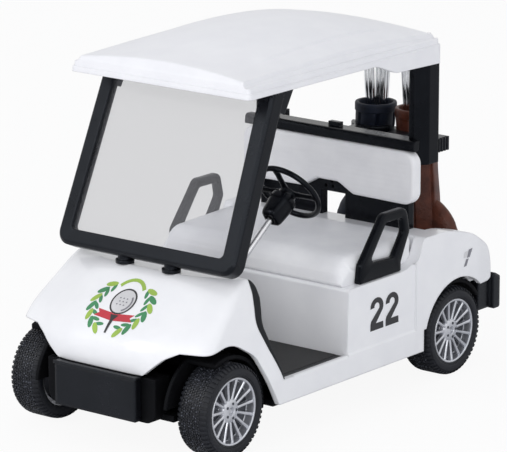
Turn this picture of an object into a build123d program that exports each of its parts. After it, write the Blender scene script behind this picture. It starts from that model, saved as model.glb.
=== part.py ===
"""Toy golf cart, about 1:20, as separate pieces for a die-cast body on a plastic chassis.

Frame: millimetres, +Z up, the cart faces -Y, +X is the cart's own left (driver's) side.
The origin is on the ground under the middle of the overall box.
Two turning bodies: the front and the rear axle, each a rod with two hubs and two tyres.
"""
import os
from math import cos, radians, sin, tan

from build123d import *

os.makedirs("parts", exist_ok=True)

# ---------------------------------------------------------------- driving dimensions
FRONT_Y = -57.5
REAR_Y = 57.5
WALL = 1.3

BODY_HALF_W = 29.0
BEVEL = 0.5
SILL_BOTTOM_Z = 8.9
SILL_TOP_Z = 14.3
SILL_REAR_Y = 24.4
SEAT_BOX_TOP_Z = 29.3
SEAT_BOX_FRONT_Y = -4.2
COWL_TOP_Z = 37.3
COWL_REAR_Y = -33.4
NOSE_Z = 18.5
FLOOR_TOP_Z = 14.0
FLOOR_T = 1.2
DECK_Z = 35.6
CUSHION_HALF_W = BODY_HALF_W - 3.0
CUSHION_REAR_Y = 24.6
WELL_HALF_W = BODY_HALF_W - 4.6
WELL_FRONT_Y = 30.6

FRONT_AXLE_Y = -43.4
REAR_AXLE_Y = 38.1
AXLE_D = 2.4
AXLE_CLEAR = 0.05
TYRE_R = 10.5
TYRE_W = 8.2
TYRE_OUT_X = BODY_HALF_W - 1.0
TYRE_IN_X = TYRE_OUT_X - TYRE_W
RIM_R = 7.6
RIM_LIP = 0.45
HUB_R = 2.7
SPOKES = 15
SPOKE_W = 0.55

CHASSIS_BOTTOM_Z = 8.3
CHASSIS_T = 1.4
CHASSIS_NARROW_X = TYRE_IN_X - 1.9
CHASSIS_WIDE_X = BODY_HALF_W - WALL - 0.3
CHASSIS_NOSE_X = 15.2
HOUSE_R = 12.2
ARCH_R = 13.3
BUMPER_HALF_W = 11.4

ROOF_HALF_W = 25.3
ROOF_FRONT_Y = -35.1
ROOF_REAR_Y = 35.5
ROOF_BOTTOM_Z = 77.2
ROOF_WALL = 1.2
SKIRT_DROP = 3.2

POST_OUT_X = ROOF_HALF_W - 0.4
POST_IN_X = POST_OUT_X - 3.5
POST_FRONT_Y = 28.2
POST_REAR_Y = ROOF_REAR_Y - 0.3
POST_BOTTOM_Z = 50.9

SCREEN_LEAN = 23.2
SCREEN_HALF_W = ROOF_HALF_W - 0.1
SCREEN_TAPER = 1.2
SCREEN_FOOT_Y = -41.2
SCREEN_FOOT_Z = 39.5
SCREEN_BAR = 3.6
SCREEN_T = 2.2
SCREEN_DEPTH = 3.8
SCREEN_RISE = ROOF_BOTTOM_Z + 2.0 - SCREEN_FOOT_Z
SCREEN_LENGTH = SCREEN_RISE / cos(radians(SCREEN_LEAN))

BACK_HALF_W = 24.8
BACK_FRONT_Y = 25.4
BACK_REAR_Y = 30.4
RAIL_TOP_Z = 57.0

STEER_X = 13.0
STEER_TILT = 36.0
STEER_HUB_Y = -5.5
STEER_HUB_Z = 49.7
STEER_R = 7.6

BAG_X = 5.5
BAG_Y = 52.4
BAG_R = 4.7
BAG_TOP_Z = 58.0
BAG_FLOOR_Z = BAG_TOP_Z - 5.0
TRAY_TOP_Z = 22.2


# ---------------------------------------------------------------- helpers
def outline(rows):
    """Face of a closed outline from rows (u, v, corner radius); each corner becomes a tangent arc."""
    edges = []
    cuts = []
    count = len(rows)
    for i in range(count):
        u, v, r = rows[i]
        pu, pv, _ = rows[i - 1]
        nu, nv, _ = rows[(i + 1) % count]
        corner = Vector(u, v)
        a = Vector(pu - u, pv - v).normalized()
        b = Vector(nu - u, nv - v).normalized()
        if r <= 0:
            cuts.append((corner, None, corner))
            continue
        half = a.get_angle(b) / 2
        run = r / tan(radians(half))
        centre = corner + (a + b).normalized() * (r / sin(radians(half)))
        mid = centre + (corner - centre).normalized() * r
        cuts.append((corner + a * run, mid, corner + b * run))
    for i in range(count):
        start, mid, end = cuts[i]
        following = cuts[(i + 1) % count][0]
        if mid is not None:
            edges.append(ThreePointArc(start, mid, end))
        if (following - end).length > 1e-6:
            edges.append(Line(end, following))
    return make_face(edges)


def mirrored_rows(rows):
    """Close a half outline given on the +X side by its mirror image on the -X side."""
    return rows + [(-u, v, r) for u, v, r in reversed(rows)]


def side_prism(face, x0, x1):
    """Extrude a (y, z) outline along X from x0 to x1."""
    return extrude(Plane.YZ.offset(x0) * face, x1 - x0)


def plan_prism(face, z0, z1):
    """Extrude an (x, y) outline along Z from z0 to z1."""
    return extrude(Plane.XY.offset(z0) * face, z1 - z0)


def front_prism(face, y0, y1):
    """Extrude an (x, z) outline along Y from y0 to y1."""
    plane = Plane(origin=(0, y1, 0), x_dir=(1, 0, 0), z_dir=(0, -1, 0))
    return extrude(plane * face, y1 - y0)


def box(x0, x1, y0, y1, z0, z1):
    """A block between two opposite corners."""
    centre = Pos((x0 + x1) / 2, (y0 + y1) / 2, (z0 + z1) / 2)
    return centre * Box(x1 - x0, y1 - y0, z1 - z0)


def x_cylinder(x0, x1, y, z, r):
    """A cylinder along X."""
    return Pos((x0 + x1) / 2, y, z) * Rot(0, 90, 0) * Cylinder(r, x1 - x0)


def both_sides(solid):
    """A solid and its mirror image across the middle plane."""
    return solid + mirror(solid, Plane.YZ)


def largest(shape):
    """The biggest solid of a cut shape."""
    return shape.solids().sort_by(SortBy.VOLUME)[-1]


def save(name, shape):
    """Write one node."""
    export_step(shape, f"parts/{name}.step")


# ---------------------------------------------------------------- body casting
# plan of the cowl at each level: z, front y, corner x, corner y, corner radius, side x
COWL_LEVELS = [
    (14.0, FRONT_Y + 2.1, BODY_HALF_W - 2.2, -50.6, 3.6, BODY_HALF_W),
    (NOSE_Z, FRONT_Y + 1.7, BODY_HALF_W - 2.2, -50.8, 3.6, BODY_HALF_W - 0.3),
    (23.0, FRONT_Y + 1.3, BODY_HALF_W - 2.3, -51.0, 3.6, BODY_HALF_W - 1.2),
    (29.4, -51.0, BODY_HALF_W - 3.2, -45.6, 3.6, BODY_HALF_W - 2.6),
    (34.4, -44.6, BODY_HALF_W - 4.6, -39.4, 3.4, BODY_HALF_W - 4.2),
    (COWL_TOP_Z, -39.8, BODY_HALF_W - 5.6, -34.8, 3.2, BODY_HALF_W - 5.4),
]
# cowl's edge at the cab: y, z, corner radius, closed round the cab
DOOR_CUT = [
    (COWL_REAR_Y - 0.2, 50.0, 0),
    (COWL_REAR_Y, 34.5, 3.0),
    (COWL_REAR_Y - 1.2, 28.0, 6.0),
    (COWL_REAR_Y + 1.8, 21.6, 8.0),
    (COWL_REAR_Y + 5.7, SILL_TOP_Z, 0),
    (10.0, SILL_TOP_Z, 0),
    (10.0, 50.0, 0),
]
# front wheel arch seen from the side: y, z, corner radius
FRONT_ARCH = [
    (FRONT_AXLE_Y + 14.7, 8.0, 0),
    (FRONT_AXLE_Y + 11.4, 14.0, 2.0),
    (FRONT_AXLE_Y + 7.2, 21.4, 6.0),
    (FRONT_AXLE_Y + 0.4, 25.6, 8.0),
    (FRONT_AXLE_Y - 6.6, 24.2, 6.0),
    (FRONT_AXLE_Y - 18.6, 24.2, 0),
    (FRONT_AXLE_Y - 18.6, 4.0, 0),
    (FRONT_AXLE_Y + 13.4, 4.0, 0),
]
# lower edge of the nose seen from the front, left half: x, z, corner radius
NOSE_EDGE = [
    (40.0, 4.0, 0),
    (40.0, 30.0, 0),
    (BODY_HALF_W - 5.0, 26.0, 7.0),
    (BODY_HALF_W - 12.0, 22.7, 6.0),
    (BUMPER_HALF_W + 0.6, NOSE_Z, 1.0),
    (BUMPER_HALF_W - 0.4, NOSE_Z, 0),
    (BUMPER_HALF_W - 0.4, 4.0, 0),
]
# rear body seen from the side: y, z, corner radius
REAR_SIDE = [
    (SEAT_BOX_FRONT_Y, SILL_BOTTOM_Z, 0),
    (SEAT_BOX_FRONT_Y + 0.5, SEAT_BOX_TOP_Z, 0.8),
    (17.6, SEAT_BOX_TOP_Z, 9.0),
    (22.2, 31.0, 2.0),
    (24.0, DECK_Z, 1.6),
    (33.0, DECK_Z, 20.0),
    (43.0, 33.2, 14.0),
    (50.4, 28.6, 6.0),
    (52.9, 21.0, 1.0),
    (50.2, 20.0, 1.0),
    (45.0, 12.0, 0),
    (SILL_REAR_Y - 0.2, SILL_BOTTOM_Z, 0),
]
# rear body in plan, left half: x, y, corner radius
REAR_PLAN = [
    (BODY_HALF_W, SEAT_BOX_FRONT_Y - 2, 0),
    (BODY_HALF_W, 46.0, 12.0),
    (BODY_HALF_W - 1.0, 53.4, 2.6),
    (0.5, 54.4, 0),
]


def cowl_solid(inset):
    """The cowl as a full block lofted through its levels, each drawn in by the inset."""
    faces = []
    for z, front_y, corner_x, corner_y, radius, side_x in COWL_LEVELS:
        rows = [
            (corner_x * 0.42, front_y, 26.0),
            (corner_x, corner_y, radius),
            (side_x, -31.0, 6.0),
            (side_x, -20.0, 0),
        ]
        face = outline(mirrored_rows(rows))
        if inset:
            face = offset(face, -inset)
        level = z - inset if z > 30 else z
        faces.append(Pos(0, 0, level) * face)
    low = extrude(faces[0], -9.0)
    return loft(faces) + low


def rear_solid(inset):
    """The seat box and the rear fenders as a full block, drawn in by the inset."""
    side = outline(REAR_SIDE)
    plan = outline(mirrored_rows(REAR_PLAN))
    if inset:
        side = offset(side, -inset)
        plan = offset(plan, -inset)
    reach = BODY_HALF_W + 3
    return side_prism(side, -reach, reach) & plan_prism(plan, 0, 60)


def cowl_shell():
    """The cowl with its open rear edge, wheel arches and curved nose edge."""
    shell = cowl_solid(0) - cowl_solid(WALL)
    shell -= box(-40, 40, -70, 0, 0, SILL_BOTTOM_Z)
    shell -= box(-40, 40, -24.0, 0, 0, 60)
    shell -= side_prism(outline(DOOR_CUT), -40, 40)
    arch = side_prism(outline(FRONT_ARCH), -40, 40)
    nose_left = front_prism(outline(NOSE_EDGE), -70, -20)
    shell -= arch & both_sides(nose_left)
    shell -= box(-40, 40, -70, -24, 0, NOSE_Z) & arch
    inside = BODY_HALF_W - WALL
    return shell - box(-inside, inside, -40, -20, 0, SILL_TOP_Z)


def rear_shell():
    """The seat box with its cushion recess, bag well and rear wheel arches."""
    inside = BODY_HALF_W - WALL
    cavity = rear_solid(WALL) + box(-inside, inside, SEAT_BOX_FRONT_Y + WALL, SILL_REAR_Y, 0, 20)
    cavity += box(-inside, inside, -10.0, 0.0, 0, FLOOR_TOP_Z - FLOOR_T)
    well_x = WELL_HALF_W + WALL
    cavity -= box(-well_x, well_x, WELL_FRONT_Y - WALL, 70, 0, 70)
    seat_x = CUSHION_HALF_W + WALL
    cavity -= box(-seat_x, seat_x, -10, CUSHION_REAR_Y + WALL, SEAT_BOX_TOP_Z - WALL, 50)
    shell = rear_solid(0) - cavity
    shell -= box(-CUSHION_HALF_W, CUSHION_HALF_W, -10, CUSHION_REAR_Y, SEAT_BOX_TOP_Z, 50)
    shell -= box(-40, 40, SILL_REAR_Y, 60, 0, 14.0)
    shell -= x_cylinder(-40, 40, REAR_AXLE_Y, TYRE_R - 0.3, ARCH_R)
    shell -= box(-40, 40, REAR_AXLE_Y, 60.0, 0, 20.1)
    shell -= box(-WELL_HALF_W, WELL_HALF_W, WELL_FRONT_Y, 60, 0, 50)
    # the side above the sill stands back by the bevel
    step_rows = [
        (BODY_HALF_W - BEVEL, SILL_TOP_Z + BEVEL, 0),
        (BODY_HALF_W - BEVEL, SEAT_BOX_TOP_Z + 1, 0),
        (BODY_HALF_W + 1, SEAT_BOX_TOP_Z + 1, 0),
        (BODY_HALF_W + 1, SILL_TOP_Z - BEVEL, 0),
        (BODY_HALF_W, SILL_TOP_Z - 0.05, 0),
    ]
    step = front_prism(outline(step_rows), SEAT_BOX_FRONT_Y - 1, SILL_REAR_Y - 3.0)
    return shell - both_sides(step)


inside_x = BODY_HALF_W - WALL
sill_rows = [
    (inside_x, SILL_BOTTOM_Z, 0),
    (inside_x, SILL_TOP_Z, 0),
    (BODY_HALF_W - BEVEL, SILL_TOP_Z, 0),
    (BODY_HALF_W, SILL_TOP_Z - BEVEL, 0),
    (BODY_HALF_W, SILL_BOTTOM_Z, 0),
]
sill = front_prism(outline(sill_rows), -28.0, SILL_REAR_Y)
body = cowl_shell() + both_sides(sill) + rear_shell()
save("body_casting", body)

# ---------------------------------------------------------------- chassis
def wheel_house(axle_y, out_x):
    """Liner over one left wheel: a half ring and its inner wall."""
    ring = x_cylinder(CHASSIS_NARROW_X, out_x, axle_y, TYRE_R, HOUSE_R)
    ring -= x_cylinder(CHASSIS_NARROW_X + 0.8, 40, axle_y, TYRE_R, HOUSE_R - 0.9)
    ring -= box(0, 40, axle_y - 20, axle_y + 20, -10, CHASSIS_BOTTOM_Z)
    ring -= box(CHASSIS_NARROW_X + 0.8, 40, -70, FRONT_AXLE_Y - 4.6, -10, 40)
    ring -= box(0, 40, -70, FRONT_AXLE_Y, -10, 12.0)
    return ring - box(0, 40, REAR_AXLE_Y + 3.0, 70, -10, 17.0)


plate_z1 = CHASSIS_BOTTOM_Z + CHASSIS_T
nose_y = FRONT_Y + 2.5
plate = box(-CHASSIS_NARROW_X, CHASSIS_NARROW_X, nose_y + 3, 50.0, CHASSIS_BOTTOM_Z, plate_z1)
plate += box(-CHASSIS_WIDE_X, CHASSIS_WIDE_X, -29.5, SILL_REAR_Y - 0.4, CHASSIS_BOTTOM_Z, plate_z1)
nose_rows = mirrored_rows([(CHASSIS_NOSE_X, CHASSIS_BOTTOM_Z - 0.4, 2.6), (CHASSIS_NOSE_X, NOSE_Z - 0.5, 0)])
chassis = plate + front_prism(outline(nose_rows), nose_y, nose_y + 5.0)
for axle_y, out_x in ((FRONT_AXLE_Y, TYRE_OUT_X - 1.8), (REAR_AXLE_Y, CHASSIS_WIDE_X - 0.1)):
    chassis += both_sides(wheel_house(axle_y, out_x))
for axle_y in (FRONT_AXLE_Y, REAR_AXLE_Y):
    block = box(CHASSIS_NARROW_X - 4.0, CHASSIS_NARROW_X, axle_y - 3.5, axle_y + 3.5, CHASSIS_BOTTOM_Z, 14.0)
    chassis += both_sides(block)
    chassis -= x_cylinder(-40, 40, axle_y, TYRE_R, AXLE_D / 2 + AXLE_CLEAR)
save("chassis", chassis)

# ---------------------------------------------------------------- bumpers
front_bumper = box(-BUMPER_HALF_W, BUMPER_HALF_W, FRONT_Y + 0.3, nose_y, 8.3, NOSE_Z - 0.9)
front_bumper += box(-BUMPER_HALF_W - 0.3, BUMPER_HALF_W + 0.3, FRONT_Y, nose_y, NOSE_Z - 0.9, NOSE_Z - 0.2)
save("front_bumper", front_bumper)
band_x = BODY_HALF_W - 2.0
band_rows = [
    (REAR_Y - 2.7, 12.0, 0.4),
    (REAR_Y - 2.7, 20.0, 0),
    (REAR_Y - 2.2, 20.8, 0.4),
    (REAR_Y, 19.6, 0.6),
    (REAR_Y, 12.0, 0.6),
]
rear_bumper = side_prism(outline(band_rows), -band_x, band_x)
rear_bumper += box(-band_x + 1.0, band_x - 1.0, 50.0, REAR_Y - 2.7, 12.4, 19.6)
save("rear_bumper", rear_bumper)

# ---------------------------------------------------------------- interior
floor = box(-inside_x + 0.1, inside_x - 0.1, -29.4, SEAT_BOX_FRONT_Y, FLOOR_TOP_Z - FLOOR_T, FLOOR_TOP_Z)
# cross section of the bulkhead under the screen: y, z, corner radius
BULKHEAD = [
    (COWL_REAR_Y - 2.2, COWL_TOP_Z - 1.4, 0),
    (COWL_REAR_Y + 2.2, COWL_TOP_Z - 1.4, 2.5),
    (COWL_REAR_Y + 2.2, 33.0, 3.0),
    (COWL_REAR_Y + 1.0, 27.6, 6.0),
    (COWL_REAR_Y + 3.2, 21.6, 8.0),
    (COWL_REAR_Y + 6.8, FLOOR_TOP_Z, 0),
    (COWL_REAR_Y + 4.0, FLOOR_TOP_Z, 0),
    (COWL_REAR_Y - 0.2, 22.0, 6.0),
    (COWL_REAR_Y - 2.4, 28.0, 6.0),
]
bulkhead = side_prism(outline(BULKHEAD), -32, 32)
# black edging that closes the cowl's rear edge, outside the bulkhead: y, z, corner radius
EDGING = [
    (COWL_REAR_Y - 3.0, COWL_TOP_Z + 0.1, 0),
    (COWL_REAR_Y + 2.0, COWL_TOP_Z + 0.1, 3.0),
    (COWL_REAR_Y + 2.3, 33.0, 3.0),
    (COWL_REAR_Y + 1.1, 27.6, 6.0),
    (COWL_REAR_Y + 3.3, 21.6, 8.0),
    (COWL_REAR_Y + 6.5, FLOOR_TOP_Z, 0),
    (COWL_REAR_Y + 5.0, FLOOR_TOP_Z, 0),
    (COWL_REAR_Y - 3.0, 26.0, 0),
]
edging = side_prism(outline(EDGING), -32, 32) & cowl_solid(0.3)
edging &= side_prism(outline(DOOR_CUT), -40, 40)
interior = floor + (bulkhead & cowl_solid(WALL + 0.02)) + edging
interior -= body
save("interior_tub", interior)

# ---------------------------------------------------------------- roof
# sections along the roof: y, shoulder height and crown height above the roof's bottom edge
ROOF_SECTIONS = [
    (ROOF_FRONT_Y + 0.1, 3.7, 5.2),
    (-12.0, 5.0, 8.0),
    (12.0, 5.1, 8.6),
    (ROOF_REAR_Y - 0.5, 3.4, 4.6),
]
LIP_H = 1.2
# the roof above its lip seen from the side: y, height above the bottom edge, corner radius
ROOF_SIDE = [
    (ROOF_FRONT_Y + 0.1, 0.0, 0),
    (ROOF_FRONT_Y + 0.1, 3.0, 0),
    (ROOF_FRONT_Y + 0.4, 3.0, 0),
    (ROOF_FRONT_Y + 2.3, 5.4, 0),
    (ROOF_FRONT_Y + 2.5, 12.0, 0),
    (ROOF_REAR_Y - 1.5, 12.0, 0),
    (ROOF_REAR_Y - 1.3, 4.2, 0.4),
    (ROOF_REAR_Y - 0.5, 1.8, 0),
    (ROOF_REAR_Y - 0.5, 0.0, 0),
]


def roof_plan(inset, radius):
    """The roof's plan, drawn in by the inset."""
    half = ROOF_HALF_W - inset
    rows = [(half, ROOF_FRONT_Y + inset, radius), (half, ROOF_REAR_Y - inset, radius)]
    return outline(mirrored_rows(rows))


def roof_dome(half, drop, base):
    """Crowned block with sloped shoulders lofted through the roof sections, lowered by the drop."""
    faces = []
    for y, shoulder, crown in ROOF_SECTIONS:
        plane = Plane(origin=(0, y, ROOF_BOTTOM_Z - drop), x_dir=(1, 0, 0), z_dir=(0, -1, 0))
        top = half - 1.9
        arc = ThreePointArc((top, shoulder), (0, crown), (-top, shoulder))
        rim = Polyline((-top, shoulder), (-half, shoulder - 1.9), (-half, base), (half, base),
                       (half, shoulder - 1.9), (top, shoulder))
        faces.append(plane * make_face([arc, rim]))
    return loft(faces)


roof_side = Plane.YZ.offset(-30) * Pos(0, ROOF_BOTTOM_Z) * outline(ROOF_SIDE)
roof_upper = roof_dome(ROOF_HALF_W - 0.5, 0, 0.0) & extrude(roof_side, 60)
roof_upper &= plan_prism(roof_plan(0.1, 0.9), ROOF_BOTTOM_Z, 100)
panel_rows = [(17.6, ROOF_FRONT_Y + 13.0, 4.0), (17.6, ROOF_REAR_Y - 15.0, 4.0)]
panel = roof_dome(ROOF_HALF_W - 0.5, -0.3, 0.0)
panel &= plan_prism(outline(mirrored_rows(panel_rows)), ROOF_BOTTOM_Z, 100)
lip = plan_prism(roof_plan(0, 0.9), ROOF_BOTTOM_Z, ROOF_BOTTOM_Z + LIP_H)
roof_room = roof_dome(ROOF_HALF_W - ROOF_WALL, ROOF_WALL, ROOF_WALL)
roof_room &= plan_prism(roof_plan(ROOF_WALL, 0.5), ROOF_BOTTOM_Z - 8, 100)
roof_room += plan_prism(roof_plan(ROOF_WALL, 0.5), ROOF_BOTTOM_Z - 8, ROOF_BOTTOM_Z)
SKIRT = [
    (10.4, 0.0, 0),
    (17.8, -SKIRT_DROP + 0.5, 2.0),
    (ROOF_REAR_Y, -SKIRT_DROP, 0),
    (ROOF_REAR_Y, 0.0, 0),
]
skirt_side = Plane.YZ.offset(-30) * Pos(0, ROOF_BOTTOM_Z) * outline(SKIRT)
skirt = extrude(skirt_side, 60) & plan_prism(roof_plan(0, 0.9), 60, 100)
roof = roof_upper + panel + lip + skirt - roof_room
save("roof", roof)
# room for what stands under the roof: the hollow inside it and everything below its edge
under_roof = roof_room + box(-40, 40, -60, 60, 0, ROOF_BOTTOM_Z - SKIRT_DROP)
under_roof += box(-40, 40, -60, 10.0, ROOF_BOTTOM_Z - 9, ROOF_BOTTOM_Z)

# ---------------------------------------------------------------- screen
lean = radians(SCREEN_LEAN)
screen_plane = Plane(
    origin=(0, SCREEN_FOOT_Y, SCREEN_FOOT_Z), x_dir=(1, 0, 0), z_dir=(0, -cos(lean), sin(lean))
)
# in this plane x is across, y is up along the glass, and the frame grows to the rear
top_half = SCREEN_HALF_W - SCREEN_TAPER


def screen_outline(inset, radius):
    """The screen's outline drawn in by the inset."""
    rows = [(SCREEN_HALF_W - inset, inset, radius), (top_half - inset, SCREEN_LENGTH - inset, 1.2)]
    return outline(mirrored_rows(rows))


ridge = 0.7
ring = extrude(screen_plane.offset(-ridge) * screen_outline(0, 3.2), ridge - SCREEN_DEPTH)
ring += extrude(screen_plane.offset(-ridge) * screen_outline(0, 3.2), ridge, taper=45)
ring -= extrude(screen_plane.offset(-SCREEN_T) * screen_outline(1.4, 1.8), -SCREEN_DEPTH)
inner = screen_outline(SCREEN_BAR, 1.2)
opening = extrude(screen_plane * inner, -SCREEN_DEPTH)
ring -= opening
glass = extrude(screen_plane.offset(-0.9) * inner, -0.8)
save("screen_glass", glass)
# gusset behind each top corner: y, height above the roof's bottom edge, corner radius
top_y = SCREEN_FOOT_Y + SCREEN_LENGTH * sin(lean)
GUSSET = [
    (top_y - 1.6, -3.6, 0),
    (top_y + 1.0, 8.0, 0),
    (top_y + 7.0, 8.0, 0),
    (top_y + 6.2, -0.2, 2.0),
    (top_y + 3.0, -5.6, 0),
]
GUSSET_T = 1.6
gusset_side = Plane.YZ.offset(top_half - GUSSET_T) * Pos(0, ROOF_BOTTOM_Z) * outline(GUSSET)
gussets = both_sides(extrude(gusset_side, GUSSET_T)) - opening
pegs = None
for x in (-6.6, 6.6):
    peg = Pos(x, SCREEN_FOOT_Y + 2.3, COWL_TOP_Z + 1.2) * Cylinder(1.6, 2.4)
    foot = Pos(x, SCREEN_FOOT_Y + 2.3, COWL_TOP_Z + 0.4) * Cylinder(2.1, 0.8)
    pegs = peg + foot if pegs is None else pegs + peg + foot
screen_frame = ((ring + gussets) & under_roof) + (pegs - opening)
screen_frame -= interior
save("screen_frame", screen_frame)

# ---------------------------------------------------------------- rear posts and seat
# plan of the left post: x, y, corner radius
POST_PLAN = [
    (POST_IN_X, POST_FRONT_Y, 0),
    (POST_OUT_X - 2.1, POST_FRONT_Y, 0.3),
    (POST_OUT_X, POST_FRONT_Y + 3.0, 0.5),
    (POST_OUT_X, POST_REAR_Y, 0.4),
    (POST_IN_X, POST_REAR_Y, 0),
]
post = plan_prism(outline(POST_PLAN), POST_BOTTOM_Z, ROOF_BOTTOM_Z + 9) & under_roof
save("rear_post_left", post)
save("rear_post_right", mirror(post, Plane.YZ))

gap_x = 3.4
seat_frame = box(-POST_IN_X, POST_IN_X, POST_FRONT_Y, BACK_REAR_Y, DECK_Z, RAIL_TOP_Z - 0.6)
rail_rows = [
    (BACK_FRONT_Y + 0.4, RAIL_TOP_Z - 2.4, 0.4),
    (BACK_FRONT_Y + 0.6, RAIL_TOP_Z, 0.9),
    (POST_FRONT_Y, RAIL_TOP_Z, 0),
    (POST_FRONT_Y, RAIL_TOP_Z - 2.4, 0),
]
seat_frame += side_prism(outline(rail_rows), -BACK_HALF_W + 0.4, BACK_HALF_W - 0.4)
seat_frame += box(-POST_IN_X, POST_IN_X, POST_FRONT_Y, BACK_REAR_Y, RAIL_TOP_Z - 2, RAIL_TOP_Z)
seat_frame += box(-1.6, 1.6, BACK_REAR_Y - 2.2, BACK_REAR_Y - 0.8, RAIL_TOP_Z - 0.4, RAIL_TOP_Z + 1.0)
seat_frame -= box(-gap_x, gap_x, 20, 40, 30, 41.4)
for x, z in ((-2.2, 42.6), (-0.2, 42.6), (-0.4, 43.9)):
    seat_frame -= Pos(x, BACK_REAR_Y, z) * Rot(90, 0, 0) * Cylinder(0.4, 12)
save("seat_back_frame", seat_frame)
pad_rows = [
    (3.0, 44.6, 2.0),
    (7.4, 42.2, 3.0),
    (BACK_HALF_W, 42.0, 3.2),
    (BACK_HALF_W, RAIL_TOP_Z - 2.5, 3.0),
]
pad = front_prism(outline(mirrored_rows(pad_rows)), BACK_FRONT_Y, POST_FRONT_Y)
save("seat_back", pad)
CUSHION_SIDE = [
    (SEAT_BOX_FRONT_Y + 0.8, SEAT_BOX_TOP_Z, 0.6),
    (SEAT_BOX_FRONT_Y + 1.8, 35.6, 4.5),
    (CUSHION_REAR_Y, 36.4, 1.5),
    (CUSHION_REAR_Y, SEAT_BOX_TOP_Z, 0),
]
save("seat_cushion", side_prism(outline(CUSHION_SIDE), -CUSHION_HALF_W, CUSHION_HALF_W))

# ---------------------------------------------------------------- armrests
# side outline of an armrest and of its loop: y, z, corner radius
ARM_OUTER = [
    (1.3, SEAT_BOX_TOP_Z, 0.3),
    (1.9, 33.4, 1.5),
    (10.2, 43.8, 2.0),
    (18.8, 43.8, 2.0),
    (20.2, 38.2, 2.0),
    (16.8, 31.4, 0.6),
    (16.8, SEAT_BOX_TOP_Z, 0.3),
]
ARM_INNER = [
    (5.0, 33.6, 1.0),
    (11.2, 41.6, 1.2),
    (17.4, 41.6, 1.2),
    (18.0, 38.2, 1.5),
    (14.4, 33.0, 1.0),
]
arm_x = CUSHION_HALF_W + 0.1
armrest = side_prism(outline(ARM_OUTER), arm_x, arm_x + 1.8)
armrest -= side_prism(outline(ARM_INNER), arm_x - 1, arm_x + 3)
save("armrest_left", armrest)
save("armrest_right", mirror(armrest, Plane.YZ))

# ---------------------------------------------------------------- steering
tilt = radians(STEER_TILT)
steer_plane = Plane(
    origin=(STEER_X, STEER_HUB_Y, STEER_HUB_Z), x_dir=(1, 0, 0), z_dir=(0, cos(tilt), sin(tilt))
)
# rim of the steering wheel as an eight-sided section: radius, height, corner radius
RING_T = 0.65
flat = RING_T * tan(radians(22.5))
RING = [
    (STEER_R + RING_T, -flat, 0),
    (STEER_R + RING_T, flat, 0),
    (STEER_R + flat, RING_T, 0),
    (STEER_R - flat, RING_T, 0),
    (STEER_R - RING_T, flat, 0),
    (STEER_R - RING_T, -flat, 0),
    (STEER_R - flat, -RING_T, 0),
    (STEER_R + flat, -RING_T, 0),
]
wheel = revolve(Plane.XZ * outline(RING), Axis.Z)
wheel += Pos(0, 0, -0.8) * Cylinder(2.0, 1.6)
wheel += Pos(0, 0, -0.3) * Box(2 * STEER_R, 1.6, 0.7)
wheel += Pos(0, -STEER_R / 2, -0.3) * Box(1.6, STEER_R, 0.7)
save("steering_wheel", steer_plane * wheel)
# shroud under the wheel: half width, depth below the wheel, corner radius
shroud_rows = mirrored_rows([(2.0, -8.4, 1.2), (2.7, -1.6, 0.6)])
shroud = extrude(Plane.XZ.offset(-2.6) * outline(shroud_rows), 5.2)
save("steering_shroud", steer_plane * shroud)
rod = steer_plane * Pos(0, 0, -8.4 - 12.7) * Cylinder(0.75, 25.4)
rod -= interior
save("steering_rod", rod.solids().sort_by(Axis.Z)[-1])

# ---------------------------------------------------------------- bags
tray_x = CHASSIS_NARROW_X
tray = box(-tray_x, tray_x, WELL_FRONT_Y, REAR_Y - 0.2, TRAY_TOP_Z - 1.6, TRAY_TOP_Z)
tray -= rear_bumper
save("bag_tray", tray)
# left bag: a cone that leans in to its collar
BAG_FOOT_X = BAG_X + 2.7
bag_lean = Vector(BAG_X - BAG_FOOT_X, 0, BAG_TOP_Z - 2.2 - TRAY_TOP_Z)
bag_axis = Plane(origin=(BAG_FOOT_X, BAG_Y, TRAY_TOP_Z), z_dir=bag_lean)
bag = bag_axis * Pos(0, 0, bag_lean.length / 2) * Cone(BAG_R + 0.3, BAG_R, bag_lean.length + 0.6)
bag -= box(-60, 60, 0, 90, TRAY_TOP_Z - 5, TRAY_TOP_Z)
bag += Pos(BAG_X, BAG_Y, BAG_TOP_Z - 1.1) * Cylinder(BAG_R + 0.2, 2.2)
bag -= Pos(BAG_X, BAG_Y, BAG_TOP_Z) * Cylinder(BAG_R - 0.7, 2 * (BAG_TOP_Z - BAG_FLOOR_Z))
# pocket low on the outer side: x, z, corner radius
POCKET = [
    (BAG_X + 5.0, TRAY_TOP_Z, 0),
    (tray_x - 1.2, TRAY_TOP_Z, 1.0),
    (tray_x - 1.2, 31.8, 5.0),
    (BAG_X + 6.0, 37.6, 0),
]
bag += front_prism(outline(POCKET), BAG_Y - 3.2, BAG_Y + 3.2)
save("bag_brown", bag)
save("bag_navy", mirror(bag, Plane.YZ))
# clubs in the left bag: foot x and y from the bag's axis, top z
CLUBS = [
    (-2.0, -1.0, 72.4),
    (0.3, -2.2, 71.6),
    (2.3, -0.4, 72.8),
    (1.1, 1.8, 74.6),
    (-1.3, 1.6, 73.2),
]
FAN = 1.7
club_set = []
for cx, cy, top_z in CLUBS:
    foot = Vector(BAG_X + cx, BAG_Y + cy, BAG_FLOOR_Z)
    tip = Vector(BAG_X + cx * FAN, BAG_Y + cy * FAN, top_z)
    run = tip - foot
    shaft = Plane(origin=foot, z_dir=run) * Pos(0, 0, run.length / 2) * Cylinder(0.55, run.length)
    shaft -= box(-40, 40, 0, 80, 40, BAG_FLOOR_Z)
    head = Pos(tip.X, tip.Y, top_z) * Box(1.2, 2.6, 2.0)
    club_set.append(largest(shaft + head))
clubs = Compound(club_set)
save("clubs_left", clubs)
save("clubs_right", mirror(clubs, Plane.YZ))

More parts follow.
